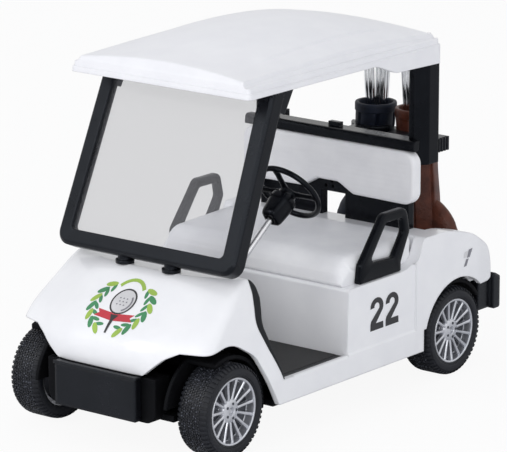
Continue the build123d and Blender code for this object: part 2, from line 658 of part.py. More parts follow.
# holder behind the posts: a crossbar with a yoke in front of each bag
HOLDER_Z0 = BAG_TOP_Z - 5.0
HOLDER_Z1 = BAG_TOP_Z - 1.8
YOKE_Z0 = HOLDER_Z0 - 3.4
bar = box(-POST_OUT_X, POST_OUT_X, POST_REAR_Y, POST_REAR_Y + 3.9, HOLDER_Z0, HOLDER_Z1)
bar -= box(-POST_IN_X, POST_IN_X, 0, 80, HOLDER_Z1 - 1.9, 80)
for k in range(3):
    groove = box(-40, -POST_OUT_X + 0.5, POST_REAR_Y + 0.5 + 1.1 * k, POST_REAR_Y + 1.0 + 1.1 * k, 40, 70)
    bar -= both_sides(groove)
yoke_z = (YOKE_Z0 + HOLDER_Z0) / 2
yoke = Pos(BAG_X, BAG_Y, yoke_z) * Cylinder(BAG_R + 1.4, HOLDER_Z0 - YOKE_Z0)
yoke -= box(-40, 40, BAG_Y - 1.5, 80, 0, 80)
yoke += box(BAG_X - 2.5, BAG_X + 2.5, POST_REAR_Y + 1.0, BAG_Y - 3, YOKE_Z0, HOLDER_Z0)
yoke -= bag + Pos(BAG_X, BAG_Y, yoke_z) * Cylinder(BAG_R - 0.8, 12)
save("bag_strap", bar + both_sides(yoke))

# ---------------------------------------------------------------- wheels
# tyre section, left: radius, x, corner radius
TYRE_ROWS = [
    (RIM_R, TYRE_IN_X + 0.3, 0),
    (TYRE_R, TYRE_IN_X + 0.8, 0),
    (TYRE_R, TYRE_OUT_X - 1.1, 0),
    (TYRE_R - 1.3, TYRE_OUT_X, 0),
    (RIM_R, TYRE_OUT_X - 0.3, 0),
]
# rim section, left: a drum with a dished web: radius, x, corner radius
web_x = TYRE_OUT_X - 2.6
RIM_ROWS = [
    (AXLE_D / 2, TYRE_IN_X + 1.0, 0),
    (RIM_R, TYRE_IN_X + 1.0, 0),
    (RIM_R, TYRE_OUT_X - 0.3, 0),
    (RIM_R - RIM_LIP, TYRE_OUT_X - 0.3, 0),
    (RIM_R - RIM_LIP - 0.3, web_x, 0),
    (AXLE_D / 2, web_x, 0),
]


def revolve_about_x(rows):
    """Revolve rows (radius, x, corner radius) about the X axis."""
    face = outline([(x, r, c) for r, x, c in rows])
    return revolve(face, Axis.X)


tyre = revolve_about_x(TYRE_ROWS)
rim = revolve_about_x(RIM_ROWS)
# one spoke seen from the side: x, radius, corner radius
SPOKE = [
    (web_x - 0.1, 0.5, 0),
    (TYRE_OUT_X - 0.9, 0.5, 0),
    (TYRE_OUT_X - 0.9, HUB_R, 0),
    (TYRE_OUT_X - 0.6, RIM_R - 0.4, 0),
    (web_x - 0.1, RIM_R - 0.4, 0),
]
spoke = extrude(Plane.XZ.offset(-SPOKE_W / 2) * outline(SPOKE), SPOKE_W)
for i in range(SPOKES):
    rim += Rot(360 * i / SPOKES, 0, 0) * spoke
rim += x_cylinder(web_x - 0.1, TYRE_OUT_X - 0.8, 0, 0, HUB_R)
rim += x_cylinder(web_x, TYRE_OUT_X - 0.4, 0, 0, 1.2)
rim -= x_cylinder(TYRE_OUT_X - 0.8, TYRE_OUT_X, 0, 0, 0.55)
rim -= x_cylinder(TYRE_IN_X - 1, TYRE_OUT_X - 1.6, 0, 0, AXLE_D / 2)
rod_x = TYRE_OUT_X - 1.6
for end, axle_y in (("front", FRONT_AXLE_Y), ("rear", REAR_AXLE_Y)):
    place = Pos(0, axle_y, TYRE_R)
    save(f"{end}_axle_rod", place * x_cylinder(-rod_x, rod_x, 0, 0, AXLE_D / 2))
    save(f"{end}_tyre_left", place * tyre)
    save(f"{end}_rim_left", place * rim)
    save(f"{end}_tyre_right", place * mirror(tyre, Plane.YZ))
    save(f"{end}_rim_right", place * mirror(rim, Plane.YZ))
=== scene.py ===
"""Looks of the toy golf cart: painted casting, moulded plastic, wheels, soft goods, graphics and studio."""
from math import atan2, copysign, cos, hypot, pi, radians, sin, tan
import bmesh
import bpy
from mathutils import Matrix, Vector
from mathutils.bvhtree import BVHTree


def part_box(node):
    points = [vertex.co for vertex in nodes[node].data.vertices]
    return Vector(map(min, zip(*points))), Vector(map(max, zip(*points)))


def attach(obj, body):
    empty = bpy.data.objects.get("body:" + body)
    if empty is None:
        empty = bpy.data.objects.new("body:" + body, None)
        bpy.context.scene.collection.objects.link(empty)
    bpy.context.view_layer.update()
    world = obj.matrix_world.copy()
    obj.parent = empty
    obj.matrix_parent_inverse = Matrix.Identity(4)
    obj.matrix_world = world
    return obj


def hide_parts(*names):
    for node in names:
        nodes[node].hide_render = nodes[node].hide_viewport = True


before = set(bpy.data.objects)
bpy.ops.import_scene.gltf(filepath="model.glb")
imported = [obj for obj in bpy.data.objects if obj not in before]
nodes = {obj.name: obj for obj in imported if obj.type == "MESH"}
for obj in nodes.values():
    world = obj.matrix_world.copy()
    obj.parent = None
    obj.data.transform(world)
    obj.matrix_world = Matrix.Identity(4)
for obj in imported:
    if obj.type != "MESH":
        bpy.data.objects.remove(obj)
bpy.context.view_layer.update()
MM = 0.001

# ---------------- chassis and bumpers
# Black ABS moulding that carries both axles, with a bumper at each end.
# It is moulded in one colour, with the fine spark-eroded grain of its tool.
# Four screws hold it to the casting from below.


def new_material(name, settings=()):
    """A node material and its Principled shader, with the shader's settings by name."""
    made = bpy.data.materials.new(name)
    made.use_nodes = True
    shader = made.node_tree.nodes["Principled BSDF"]
    for key, value in dict(settings).items():
        shader.inputs[key].default_value = value
    return made, made.node_tree, shader


def add(tree, kind, **values):
    """A node with its settings or unlinked inputs given by name."""
    node = tree.nodes.new(kind)
    for key, value in values.items():
        if key in node.inputs:
            node.inputs[key].default_value = value
        else:
            setattr(node, key, value)
    return node


def wire(tree, *ends):
    """Link outputs to inputs, each end as a node and the name or number of its socket."""
    for k in range(0, len(ends), 4):
        source, out, target, into = ends[k : k + 4]
        tree.links.new(source.outputs[out], target.inputs[into])


def remap(tree, from_low, from_high, to_low=0.0, to_high=1.0):
    """A Map Range node from one span of values to another."""
    node = tree.nodes.new("ShaderNodeMapRange")
    spans = {"From Min": from_low, "From Max": from_high, "To Min": to_low, "To Max": to_high}
    for key, value in spans.items():
        node.inputs[key].default_value = value
    return node


def surface(tree, shader, grain, depth, edge, rough, spread, blotch):
    """Grain, a softened edge of the given radius and uneven gloss, all on Object coordinates."""
    place = add(tree, "ShaderNodeTexCoord")
    noise = add(tree, "ShaderNodeTexNoise", Scale=grain, Detail=3.0)
    soft_edge = add(tree, "ShaderNodeBevel", samples=6, Radius=edge)
    bump = add(tree, "ShaderNodeBump", Strength=0.6, Distance=depth)
    patch = add(tree, "ShaderNodeTexNoise", Scale=blotch[0], Detail=blotch[1])
    gloss = remap(tree, 0.3, 0.7, rough - spread, rough + spread)
    wire(
        tree,
        place, "Object", noise, "Vector",
        place, "Object", patch, "Vector",
        noise, "Fac", bump, "Height",
        soft_edge, "Normal", bump, "Normal",
        bump, "Normal", shader, "Normal",
        patch, "Fac", gloss, "Value",
        gloss, "Result", shader, "Roughness",
    )
    return patch


def tinted(tree, shader, patch, dark, light, span=(0.35, 0.65)):
    """Two tones of one colour, mixed by the patch noise over the given span of its values."""
    ramp = remap(tree, *span)
    mix = add(tree, "ShaderNodeMix", data_type="RGBA", A=(*dark, 1), B=(*light, 1))
    wire(
        tree,
        patch, "Fac", ramp, "Value",
        ramp, "Result", mix, "Factor",
        mix, "Result", shader, "Base Color",
    )


def coated(name, dark, light, grain, depth, edge, rough, spread, settings=(), blotch=(160.0, 5.0), **ramp):
    """A finish of two tones, with grain, an edge radius and shader settings by name."""
    made, tree, shader = new_material(name, settings)
    patch = surface(tree, shader, grain, depth, edge, rough, spread, blotch)
    tinted(tree, shader, patch, dark, light, **ramp)
    return made


def moulded(name, dark, light, rough, grain=5200.0, depth=0.00002, edge=0.0006, specular=0.2):
    """Moulded plastic with grain and a cool reflection."""
    settings = {"Specular IOR Level": specular, "Specular Tint": (0.80, 0.88, 1.0, 1.0)}
    return coated(name, dark, light, grain, depth, edge, rough, 0.05, settings)


def dress(finish, *names):
    """Give carried-over nodes their finish."""
    for name in names:
        mesh = nodes[name].data
        mesh.materials.clear()
        mesh.materials.append(finish)


black_plastic = moulded("black_plastic", (0.0030, 0.0032, 0.0046), (0.0050, 0.0054, 0.0074), 0.3)
under_plastic = moulded(
    "under_plastic", (0.0028, 0.0028, 0.0034), (0.0044, 0.0044, 0.0050), 0.6, specular=0.08
)
gloss_plastic = moulded(
    "gloss_plastic", (0.0022, 0.0024, 0.0036), (0.0038, 0.0042, 0.0058), 0.2, specular=0.13
)
bumper_plastic = moulded(
    "bumper_plastic", (0.0040, 0.0042, 0.0056), (0.0062, 0.0066, 0.0086), 0.24,
    edge=0.0010, specular=0.26,
)
dress(under_plastic, "chassis")
dress(bumper_plastic, "front_bumper", "rear_bumper")


def linked(name, data):
    """A new object in the scene."""
    made = bpy.data.objects.new(name, data)
    bpy.context.scene.collection.objects.link(made)
    return made


def meshed(name, bm, finishes):
    """A mesh object at the origin with its finishes, shaded smooth."""
    mesh = bpy.data.meshes.new(name)
    bm.to_mesh(mesh)
    bm.free()
    for finish in finishes:
        mesh.materials.append(finish)
    mesh.shade_smooth()
    return linked(name, mesh)


def to_object(name, bm, finishes, crease=34.0):
    """A mesh object, welded, with its faces outward and edges sharp past the crease angle."""
    bmesh.ops.remove_doubles(bm, verts=bm.verts, dist=1e-6)
    bmesh.ops.recalc_face_normals(bm, faces=bm.faces)
    made = meshed(name, bm, finishes)
    made.data.set_sharp_from_angle(angle=radians(crease))
    return made


def skin(bm, rings, round_trip=True, finish=0):
    """Quads between each row of vertices and the next, closed round each row if wanted."""
    for a, b in zip(rings, rings[1:]):
        for k in range(len(a) if round_trip else len(a) - 1):
            n = (k + 1) % len(a)
            bm.faces.new((a[k], a[n], b[n], b[k])).material_index = finish


def capped(bm, rings):
    """A skin with its first and last rows closed by a face."""
    skin(bm, rings)
    bm.faces.new(rings[0])
    bm.faces.new(rings[-1])


def revolve(bm, rows, steps, axis="X", centre=(0, 0, 0), finish=0):
    """A closed band turned from rows of (radius, place along the axis), in millimetres."""
    rings = []
    for radius, along in rows:
        ring = []
        for k in range(steps):
            across = (radius * cos(2 * pi * k / steps), radius * sin(2 * pi * k / steps))
            p = Vector((along, *across) if axis == "X" else (*across, along))
            ring.append(bm.verts.new((p + Vector(centre)) * MM))
        rings.append(ring)
    skin(bm, rings + rings[:1], finish=finish)


def spread_copies(name, prototype, places, finish, body):
    """Geometry Nodes put a prototype at each place (position, turn) and realize them as one."""
    points = bpy.data.meshes.new(name + "_points")
    points.from_pydata([p for p, turn in places], [], [])
    turns = points.attributes.new("turn", "FLOAT_VECTOR", "POINT")
    for k, (p, turn) in enumerate(places):
        turns.data[k].vector = turn
    carrier = linked(name, points)
    tree = bpy.data.node_groups.new(name + "_tree", "GeometryNodeTree")
    tree.interface.new_socket("Places", in_out="INPUT", socket_type="NodeSocketGeometry")
    shape = tree.interface.new_socket("Shape", in_out="INPUT", socket_type="NodeSocketObject")
    size = tree.interface.new_socket("Size", in_out="INPUT", socket_type="NodeSocketFloat")
    coat = tree.interface.new_socket("Finish", in_out="INPUT", socket_type="NodeSocketMaterial")
    tree.interface.new_socket("Copies", in_out="OUTPUT", socket_type="NodeSocketGeometry")
    gate = tree.nodes.new("NodeGroupInput")
    leave = tree.nodes.new("NodeGroupOutput")
    info = tree.nodes.new("GeometryNodeObjectInfo")
    put = tree.nodes.new("GeometryNodeInstanceOnPoints")
    turned = add(tree, "GeometryNodeInputNamedAttribute", data_type="FLOAT_VECTOR", Name="turn")
    real = tree.nodes.new("GeometryNodeRealizeInstances")
    paint = tree.nodes.new("GeometryNodeSetMaterial")
    wire(
        tree,
        gate, "Places", put, "Points",
        gate, "Shape", info, "Object",
        info, "Geometry", put, "Instance",
        turned, "Attribute", put, "Rotation",
        gate, "Size", put, "Scale",
        put, "Instances", real, "Geometry",
        real, "Geometry", paint, "Geometry",
        gate, "Finish", paint, "Material",
        paint, "Geometry", leave, "Copies",
    )
    array = carrier.modifiers.new("copies", "NODES")
    array.node_group = tree
    array[shape.identifier] = prototype
    array[size.identifier] = 1.0
    array[coat.identifier] = finish
    bpy.context.view_layer.update()
    spread = carrier.evaluated_get(bpy.context.evaluated_depsgraph_get())
    mesh = bpy.data.meshes.new_from_object(spread)
    made = linked(name, mesh)
    bpy.data.objects.remove(carrier)
    bpy.data.objects.remove(prototype)
    mesh.shade_smooth()
    mesh.set_sharp_from_angle(angle=radians(34))
    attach(made, body)


# screws: a low head with a raised cross, each turned a little further than the last
SCREW_ROWS = [(0.1, -0.2), (1.1, -0.2), (1.6, -0.02), (1.6, 0.4), (0.1, 0.4)]
CROSS_X, CROSS_Y, CROSS_LOW, CROSS_HIGH = 0.0009, 0.00018, -0.00025, -0.0002
SCREW_SPOTS = [(-9, -28), (9, -28), (-9, 22), (9, 22)]
screw_zinc = coated(
    "screw_zinc", (0.36, 0.37, 0.38), (0.52, 0.52, 0.52), 3000.0, 0.00001, 0.0001, 0.34, 0.06,
    {"Metallic": 1.0},
)
bm = bmesh.new()
revolve(bm, SCREW_ROWS, 24, "Z")
for k in range(2):
    cross_turn = Matrix.Rotation(k * pi / 2, 4, "Z")
    bar = [(-CROSS_X, -CROSS_Y), (CROSS_X, -CROSS_Y), (CROSS_X, CROSS_Y), (-CROSS_X, CROSS_Y)]
    for a, b in zip(bar, bar[1:] + bar[:1]):
        quad = [(*a, CROSS_LOW), (*b, CROSS_LOW), (*b, CROSS_HIGH), (*a, CROSS_HIGH)]
        bm.faces.new([bm.verts.new(cross_turn @ Vector(p)) for p in quad])
    bm.faces.new([bm.verts.new(cross_turn @ Vector((*p, CROSS_LOW))) for p in bar])
screw = to_object("screw", bm, [screw_zinc])
screw_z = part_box("chassis")[0][2] - 0.00005
screw_places = [((x * MM, y * MM, screw_z), (0, 0, 0.4 * k)) for k, (x, y) in enumerate(SCREW_SPOTS)]
spread_copies("chassis_screws", screw, screw_places, screw_zinc, "cart")

# ---------------- body casting
# Zinc die casting with cowl, sills, bench box and rear fenders in one.
# Sprayed glossy white, so its edges are soft under the paint and it has a faint orange peel.
white_enamel = coated(
    "white_enamel", (0.85, 0.855, 0.885), (0.88, 0.885, 0.91), 1400.0, 0.000012, 0.00055, 0.34, 0.03,
    {"Coat Weight": 0.6, "Coat Roughness": 0.08},
)
dress(white_enamel, "body_casting")

# ---------------- interior tub
# One black moulding: floor, the bulkhead under the screen, and the edging that closes the cowl.
# The flat of the floor is a thin step with a coarser grain, so it is a little duller.
tub_plastic = moulded("tub_plastic", (0.0060, 0.0060, 0.0070), (0.0100, 0.0100, 0.0112), 0.36)
dress(tub_plastic, "interior_tub")
MAT_X, MAT_FRONT, MAT_REAR = 0.0258, -0.0270, -0.0046
MAT_BOTTOM, MAT_TOP, MAT_SHRINK = 0.01402, 0.01424, 0.985
bm = bmesh.new()
mat_rows = [(-MAT_X, MAT_FRONT), (MAT_X, MAT_FRONT), (MAT_X, MAT_REAR), (-MAT_X, MAT_REAR)]
bottom = [bm.verts.new((x, y, MAT_BOTTOM)) for x, y in mat_rows]
top = [bm.verts.new((x * MAT_SHRINK, y * MAT_SHRINK - 0.0002, MAT_TOP)) for x, y in mat_rows]
bm.faces.new(bottom[::-1])
bm.faces.new(top)
skin(bm, [bottom, top])
mat_finish = coated(
    "floor_mat", (0.012, 0.012, 0.0135), (0.020, 0.020, 0.0215), 3800.0, 0.00005, 0.0002, 0.62, 0.05
)
floor_mat = to_object("floor_mat", bm, [mat_finish])
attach(floor_mat, "cart")

# ---------------- bench cushion
# Moulded bench pad with fine cross ribs and a rolled front edge, crowned over its foam-like middle.
# It imitates vinyl, a touch softer in gloss than the painted body.


def rounded(rows, steps=6):
    """Outline of (x, y, radius) corners with each corner turned as an arc."""
    points = []
    for k, (x, y, r) in enumerate(rows):
        here = Vector((x, y))
        if r <= 0:
            points.append(here)
            continue
        before = (Vector(rows[k - 1][:2]) - here).normalized()
        after = (Vector(rows[(k + 1) % len(rows)][:2]) - here).normalized()
        half = before.angle(after) / 2
        reach = r / tan(half)
        centre = here + (before + after).normalized() * (r / sin(half))
        start = here + before * reach - centre
        end = here + after * reach - centre
        sweep = start.angle_signed(end)
        for n in range(steps + 1):
            t = -sweep * n / steps
            turned = Vector((start.x * cos(t) - start.y * sin(t), start.x * sin(t) + start.y * cos(t)))
            points.append(centre + turned)
    return points


def walk(points, pitch):
    """The closed outline again in equal steps."""
    lengths = [(points[(k + 1) % len(points)] - points[k]).length for k in range(len(points))]
    total = sum(lengths)
    count = max(8, int(total / pitch))
    stepped, k, gone = [], 0, 0.0
    for n in range(count):
        want = total * n / count
        while gone + lengths[k] < want:
            gone += lengths[k]
            k += 1
        t = (want - gone) / lengths[k]
        stepped.append(points[k].lerp(points[(k + 1) % len(points)], t))
    return stepped


def outward(outline, k):
    """Unit normal of a closed outline at its point k."""
    ahead = outline[(k + 1) % len(outline)] - outline[k - 1]
    return Vector((ahead.y, -ahead.x)).normalized()


seat_vinyl = coated(
    "seat_vinyl", (0.83, 0.835, 0.865), (0.88, 0.885, 0.905), 2600.0, 0.00003, 0.0002, 0.46, 0.05
)
low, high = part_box("seat_cushion")
y0, z0, y1, z1 = low[1] / MM, low[2] / MM, high[1] / MM, high[2] / MM
half_w = high[0] / MM
side_corners = [(y0, z0, 0.6), (y0 + 1.0, z1 - 0.75, 5.0), (y1, z1, 1.5), (y1, z0, 0)]
cushion_side = walk(rounded(side_corners, 10), 0.28)
middle = Vector(((y0 + y1) / 2, (z0 + z1) / 2))
RIB_PITCH, RIB_DEPTH, END_ROLL, CORE_IN = 1.35, 0.055, 2.6, 3.0
CROWN, CREST_IN = 0.35, 0.36
from_end = [0, 0.12, 0.35, 0.75, 1.3, 1.9, 2.6, 3.2, 6, 12, 18, 24]
stations = [-half_w + s for s in from_end] + [0.0] + [half_w - s for s in from_end[::-1]]
bm = bmesh.new()
rings = []
for x in stations:
    edge = min(half_w - abs(x), END_ROLL)
    roll = END_ROLL - (END_ROLL**2 - (END_ROLL - edge) ** 2) ** 0.5
    crown = CROWN * (1 - (x / half_w) ** 2)
    fade = min(1.0, max(0.0, (half_w - abs(x) - 1.2) / 1.6))
    ring = []
    travelled = 0.0
    for k, p in enumerate(cushion_side):
        out = outward(cushion_side, k)
        if out.dot(p - middle) < 0:
            out = -out
        travelled += (p - cushion_side[k - 1]).length
        on_top = 1.0 if p.y > z0 + 0.9 and p.x < y1 - 1.0 else 0.0
        rib = RIB_DEPTH * fade * on_top * (0.5 - 0.5 * abs(cos(pi * travelled / RIB_PITCH)) ** 0.6 * 1.6)
        lift = min(1.0, max(0.0, (p.y - z0 - 0.6) / 2.6))
        core = Vector((min(max(p.x, y0 + CORE_IN), y1 - CORE_IN), min(p.y, z1 - CORE_IN)))
        inward = core - p
        drawn_in = min(lift * roll, 0.9 * inward.length)
        q = p + inward.normalized() * drawn_in - out * (lift * (CREST_IN - rib - crown * on_top * 0.5))
        q.y = max(q.y, z0)
        ring.append(bm.verts.new((x * MM, q.x * MM, q.y * MM)))
    rings.append(ring)
skin(bm, rings)
bm.faces.new(rings[0])
bm.faces.new(rings[-1][::-1])
cushion = to_object("bench_cushion", bm, [seat_vinyl], 60)
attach(cushion, "cart")
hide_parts("seat_cushion")

# ---------------- backrest
# Padded backrest board on a black moulded frame with a rail along its top.
# The pad has fine level ribs, rounded ends and an arch cut into its lower edge.
back_vinyl = coated(
    "back_vinyl", (0.82, 0.82, 0.845), (0.87, 0.87, 0.89), 2600.0, 0.00003, 0.0002, 0.5, 0.05
)
dress(gloss_plastic, "seat_back_frame")
low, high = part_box("seat_back")
half_w, top_z = high[0] / MM, high[2] / MM
front_y, rear_y = low[1] / MM, high[1] / MM
half_rows = [(3.0, 44.6, 2.0), (7.4, 42.2, 3.0), (half_w, 42.0, 3.2), (half_w, top_z, 3.0)]
pad_outline = rounded(half_rows + [(-x, z, r) for x, z, r in half_rows[::-1]], 10)
# (drawn in, y) from the back of the pad over its softened edge to the front
levels = [(0.0, rear_y), (0.0, front_y + 0.9), (0.12, front_y + 0.45)]
levels += [(0.42, front_y + 0.13), (0.85, front_y)]
bm = bmesh.new()
rings = []
for inset, y in levels:
    drawn = [p - outward(pad_outline, k) * inset for k, p in enumerate(pad_outline)]
    rings.append([bm.verts.new((p.x * MM, y * MM, p.y * MM)) for p in drawn])
capped(bm, rings)
bm.normal_update()
GROOVE_PITCH, GROOVE_HALF, GROOVE_DEPTH, LOWEST_GROOVE = 1.15, 0.22, 0.00005, 42.4


def on_front(v):
    """Whether the vertex lies in the pad's front face."""
    return abs(v.co.y - front_y * MM) < 1e-7


z = LOWEST_GROOVE
while z < top_z - 1.0:
    for step in (-GROOVE_HALF, 0.0, GROOVE_HALF):
        faces = [f for f in bm.faces if all(on_front(v) for v in f.verts)]
        geometry = list({e for f in faces for e in f.edges} | {v for f in faces for v in f.verts}) + faces
        bmesh.ops.bisect_plane(bm, geom=geometry, plane_co=(0, 0, (z + step) * MM), plane_no=(0, 0, 1))
    z += GROOVE_PITCH
for v in bm.verts:
    up = v.co.z / MM
    off = abs((up - LOWEST_GROOVE + GROOVE_PITCH / 2) % GROOVE_PITCH - GROOVE_PITCH / 2)
    if on_front(v) and off < 0.1 and LOWEST_GROOVE - 0.1 < up < top_z - 0.9:
        v.co.y += GROOVE_DEPTH
backrest = to_object("backrest_pad", bm, [back_vinyl], 50)
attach(backrest, "cart")
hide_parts("seat_back")

# ---------------- armrests
# A flat moulded loop at each end of the bench, with its edges broken all round.
# Both are glued down on the bench box.
# (y, z, corner radius) of the loop's outside and of its opening
ARM_OUTER = [
    (1.3, 29.3, 0.3), (1.9, 33.4, 1.5), (10.2, 43.8, 2.0), (18.8, 43.8, 2.0), (20.2, 38.2, 2.0),
    (16.8, 31.4, 0.6), (16.8, 29.3, 0.3),
]
ARM_INNER = [(5.0, 33.6, 1.0), (11.2, 41.6, 1.2), (17.4, 41.6, 1.2), (18.0, 38.2, 1.5), (14.4, 33.0, 1.0)]
ARM_X0, ARM_X1, ARM_BREAK, ARM_RAYS = 26.1, 27.9, 0.42, 60


def reach_of(outline, centre, angle):
    """Distance from the centre to the outline along the angle."""
    ray = Vector((cos(angle), sin(angle)))
    best = 0.0
    for k in range(len(outline)):
        a, b = outline[k - 1] - centre, outline[k] - centre
        edge = b - a
        cross = ray.x * edge.y - ray.y * edge.x
        if abs(cross) < 1e-9:
            continue
        t = (a.x * edge.y - a.y * edge.x) / cross
        u = (a.x * ray.y - a.y * ray.x) / cross
        if t > 0 and -1e-6 <= u <= 1 + 1e-6:
            best = max(best, t)
    return best


outer, inner = rounded(ARM_OUTER, 8), rounded(ARM_INNER, 8)
centre = Vector((12.6, 37.6))
angles = {round(atan2(p.y - centre.y, p.x - centre.x), 4) for p in outer + inner}
angles |= {round(-pi + 2 * pi * k / ARM_RAYS, 4) for k in range(ARM_RAYS)}
broken_edge = [(0.0, 1.0), (0.12, 0.55), (0.45, 0.15), (1.0, 0.0)]
arc = [(i * ARM_BREAK, d * ARM_BREAK) for i, d in broken_edge]
for side, hand in ((1, "left"), (-1, "right")):
    bm = bmesh.new()
    rings = []
    for angle in sorted(angles):
        ray = Vector((cos(angle), sin(angle)))
        far, near = reach_of(outer, centre, angle), reach_of(inner, centre, angle)
        path = [(far - i, ARM_X0 + d) for i, d in arc] + [(near + i, ARM_X0 + d) for i, d in arc[::-1]]
        path += [(near + i, ARM_X1 - d) for i, d in arc] + [(far - i, ARM_X1 - d) for i, d in arc[::-1]]
        spots = [(side * x, *(centre + ray * r)) for r, x in path]
        rings.append([bm.verts.new(Vector(p) * MM) for p in spots])
    skin(bm, rings[-1:] + rings)
    armrest = to_object(f"armrest_{hand}_loop", bm, [gloss_plastic], 32)
    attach(armrest, "cart")
    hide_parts(f"armrest_{hand}")

# ---------------- steering
# Moulded wheel with three spokes on a shroud, and a bright rod down to the bulkhead.
# All of it is glossy black but for the rod, a plain steel wire.
rod_steel = coated(
    "rod_steel", (0.42, 0.43, 0.45), (0.62, 0.62, 0.64), 2400.0, 0.00001, 0.0001, 0.24, 0.05,
    {"Metallic": 1.0},
)
dress(rod_steel, "steering_rod")
STEER_TILT = radians(36.0)
STEER_R, RING_T = 7.6, 0.65
HUB = Vector((0.0130, -0.0055, 0.0497))
x_dir, z_dir = Vector((1, 0, 0)), Vector((0, cos(STEER_TILT), sin(STEER_TILT)))
on_column = Matrix.Translation(HUB) @ Matrix((x_dir, z_dir.cross(x_dir), z_dir)).transposed().to_4x4()
hub_rows = [(0.02, -1.6), (2.0, -1.6), (2.1, -0.7), (1.9, -0.05), (1.5, 0.1), (0.9, 0.0), (0.02, 0.05)]
spoke_section = [(-0.85, -0.55), (-0.55, 0.0), (0.55, 0.0), (0.85, -0.55), (0.0, -0.75)]
bm = bmesh.new()
turns = [2 * pi * k / 14 for k in range(14)]
revolve(bm, [(STEER_R + RING_T * cos(t), RING_T * sin(t)) for t in turns], 84, "Z")
revolve(bm, hub_rows, 36, "Z")
for angle in (0, pi, -pi / 2):
    turn = Matrix.Rotation(angle, 3, "Z")
    ends = []
    for reach, widen in ((1.6, 1.25), (3.4, 0.95), (5.6, 0.9), (7.3, 1.15)):
        ends.append([bm.verts.new(turn @ Vector((reach, s * widen, h)) * MM) for s, h in spoke_section])
    capped(bm, ends)
bm.transform(on_column)
steering_wheel = to_object("steering_wheel_rim", bm, [gloss_plastic], 40)
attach(steering_wheel, "cart")
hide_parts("steering_wheel")
# the shroud's sections down the column: (height, half width, half depth)
SHROUD_ROWS = [
    (-1.62, 2.1, 2.0), (-1.7, 2.45, 2.35), (-2.2, 2.66, 2.56), (-4.2, 2.5, 2.55), (-6.4, 2.2, 2.5),
    (-7.5, 2.05, 2.4), (-8.1, 1.85, 2.2), (-8.36, 1.5, 1.85), (-8.4, 1.1, 1.3), (-8.1, 0.95, 0.95),
]
SQUARENESS = 0.55
bm = bmesh.new()
rings = []
for h, a, b in SHROUD_ROWS:
    ring = []
    for k in range(40):
        c, w = cos(2 * pi * k / 40), sin(2 * pi * k / 40)
        x, y = copysign(a * abs(c) ** SQUARENESS, c), copysign(b * abs(w) ** SQUARENESS, w)
        ring.append(bm.verts.new((x * MM, y * MM, h * MM)))
    rings.append(ring)
capped(bm, rings)
bm.transform(on_column)
shroud = to_object("steering_shroud_cover", bm, [gloss_plastic], 40)
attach(shroud, "cart")
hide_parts("steering_shroud")

# ---------------- screen
# Black moulded frame on two pegs, with a clear polystyrene pane pressed in from behind.
# The pane is flat and nearly clear, with a faint uneven haze and a reflection at a low angle.


def maths(tree, operation, *constants):
    """A Math node, with its inputs after the first given as numbers."""
    node = add(tree, "ShaderNodeMath", operation=operation)
    for k, value in enumerate(constants):
        node.inputs[k + 1].default_value = value
    return node


dress(black_plastic, "screen_frame")
pane, tree, shader = new_material("clear_pane")
veil = add(tree, "ShaderNodeBsdfDiffuse", Color=(0.62, 0.62, 0.65, 1))
clear = add(tree, "ShaderNodeBsdfTransparent", Color=(0.975, 0.975, 0.98, 1))
shine = add(tree, "ShaderNodeBsdfGlossy", Color=(1, 1, 1, 1), Roughness=0.05)
blend_veil = add(tree, "ShaderNodeMixShader")
facing = add(tree, "ShaderNodeLayerWeight", Blend=0.08)
faint = maths(tree, "MULTIPLY", 0.35)
blend_shine = add(tree, "ShaderNodeMixShader")
place = add(tree, "ShaderNodeTexCoord")
haze = add(tree, "ShaderNodeTexNoise", Scale=40.0, Detail=2.0)
haze_range = remap(tree, 0.0, 1.0, 0.065, 0.085)
wire(
    tree,
    place, "Object", haze, "Vector",
    haze, "Fac", haze_range, "Value",
    haze_range, "Result", blend_veil, "Fac",
    clear, "BSDF", blend_veil, 1,
    veil, "BSDF", blend_veil, 2,
    facing, "Facing", faint, 0,
    faint, 0, blend_shine, "Fac",
    blend_veil, "Shader", blend_shine, 1,
    shine, "BSDF", blend_shine, 2,
    blend_shine, "Shader", tree.nodes["Material Output"], "Surface",
)
dress(pane, "screen_glass")

# ---------------- rear posts and roof
# Two black posts stand on the backrest frame and plug into the roof.
# The roof is a white styrene moulding with a lip, two steps along each side and a low raised panel,
# drawn here as one height field over its plan, with the hollow underside and the rear skirt.
dress(gloss_plastic, "rear_post_left", "rear_post_right")
roof_white = moulded(
    "roof_white", (0.84, 0.84, 0.87), (0.87, 0.87, 0.895), 0.42, 2400.0, 0.000012, 0.00035, 0.45
)
low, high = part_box("roof")
ROOF_HALF_W, ROOF_FRONT, ROOF_REAR = high[0] / MM, low[1] / MM, high[1] / MM
SKIRT_DROP, ROOF_WALL, ROOF_CORNER, EDGE_BAND = 3.2, 1.2, 1.3, 2.5
PANEL_RISE, PANEL_HALF_W, PANEL_EASE = 0.3, 17.6, 0.25
ROOF_BASE = low[2] / MM + SKIRT_DROP
STATIONS = [(-35.0, 3.5, 4.75), (-12.0, 4.3, 8.0), (12.0, 4.5, 8.5), (35.0, 3.1, 4.6)]
SKIRT = [(ROOF_FRONT, 0.0), (10.4, 0.0), (17.8, 0.5 - SKIRT_DROP), (ROOF_REAR, -SKIRT_DROP)]
LIP = [(0.03, 1.05), (0.15, 1.2), (0.36, 1.24), (0.46, 1.3)]
FRONT_WALL = LIP + [(0.5, 2.75), (0.62, 3.05), (0.85, 3.35), (2.3, 5.35), (12.0, 16.0)]
REAR_WALL = LIP + [(0.5, 2.6), (0.62, 2.95), (1.08, 3.6), (1.88, 4.5), (3.4, 5.6), (12.0, 12.0)]


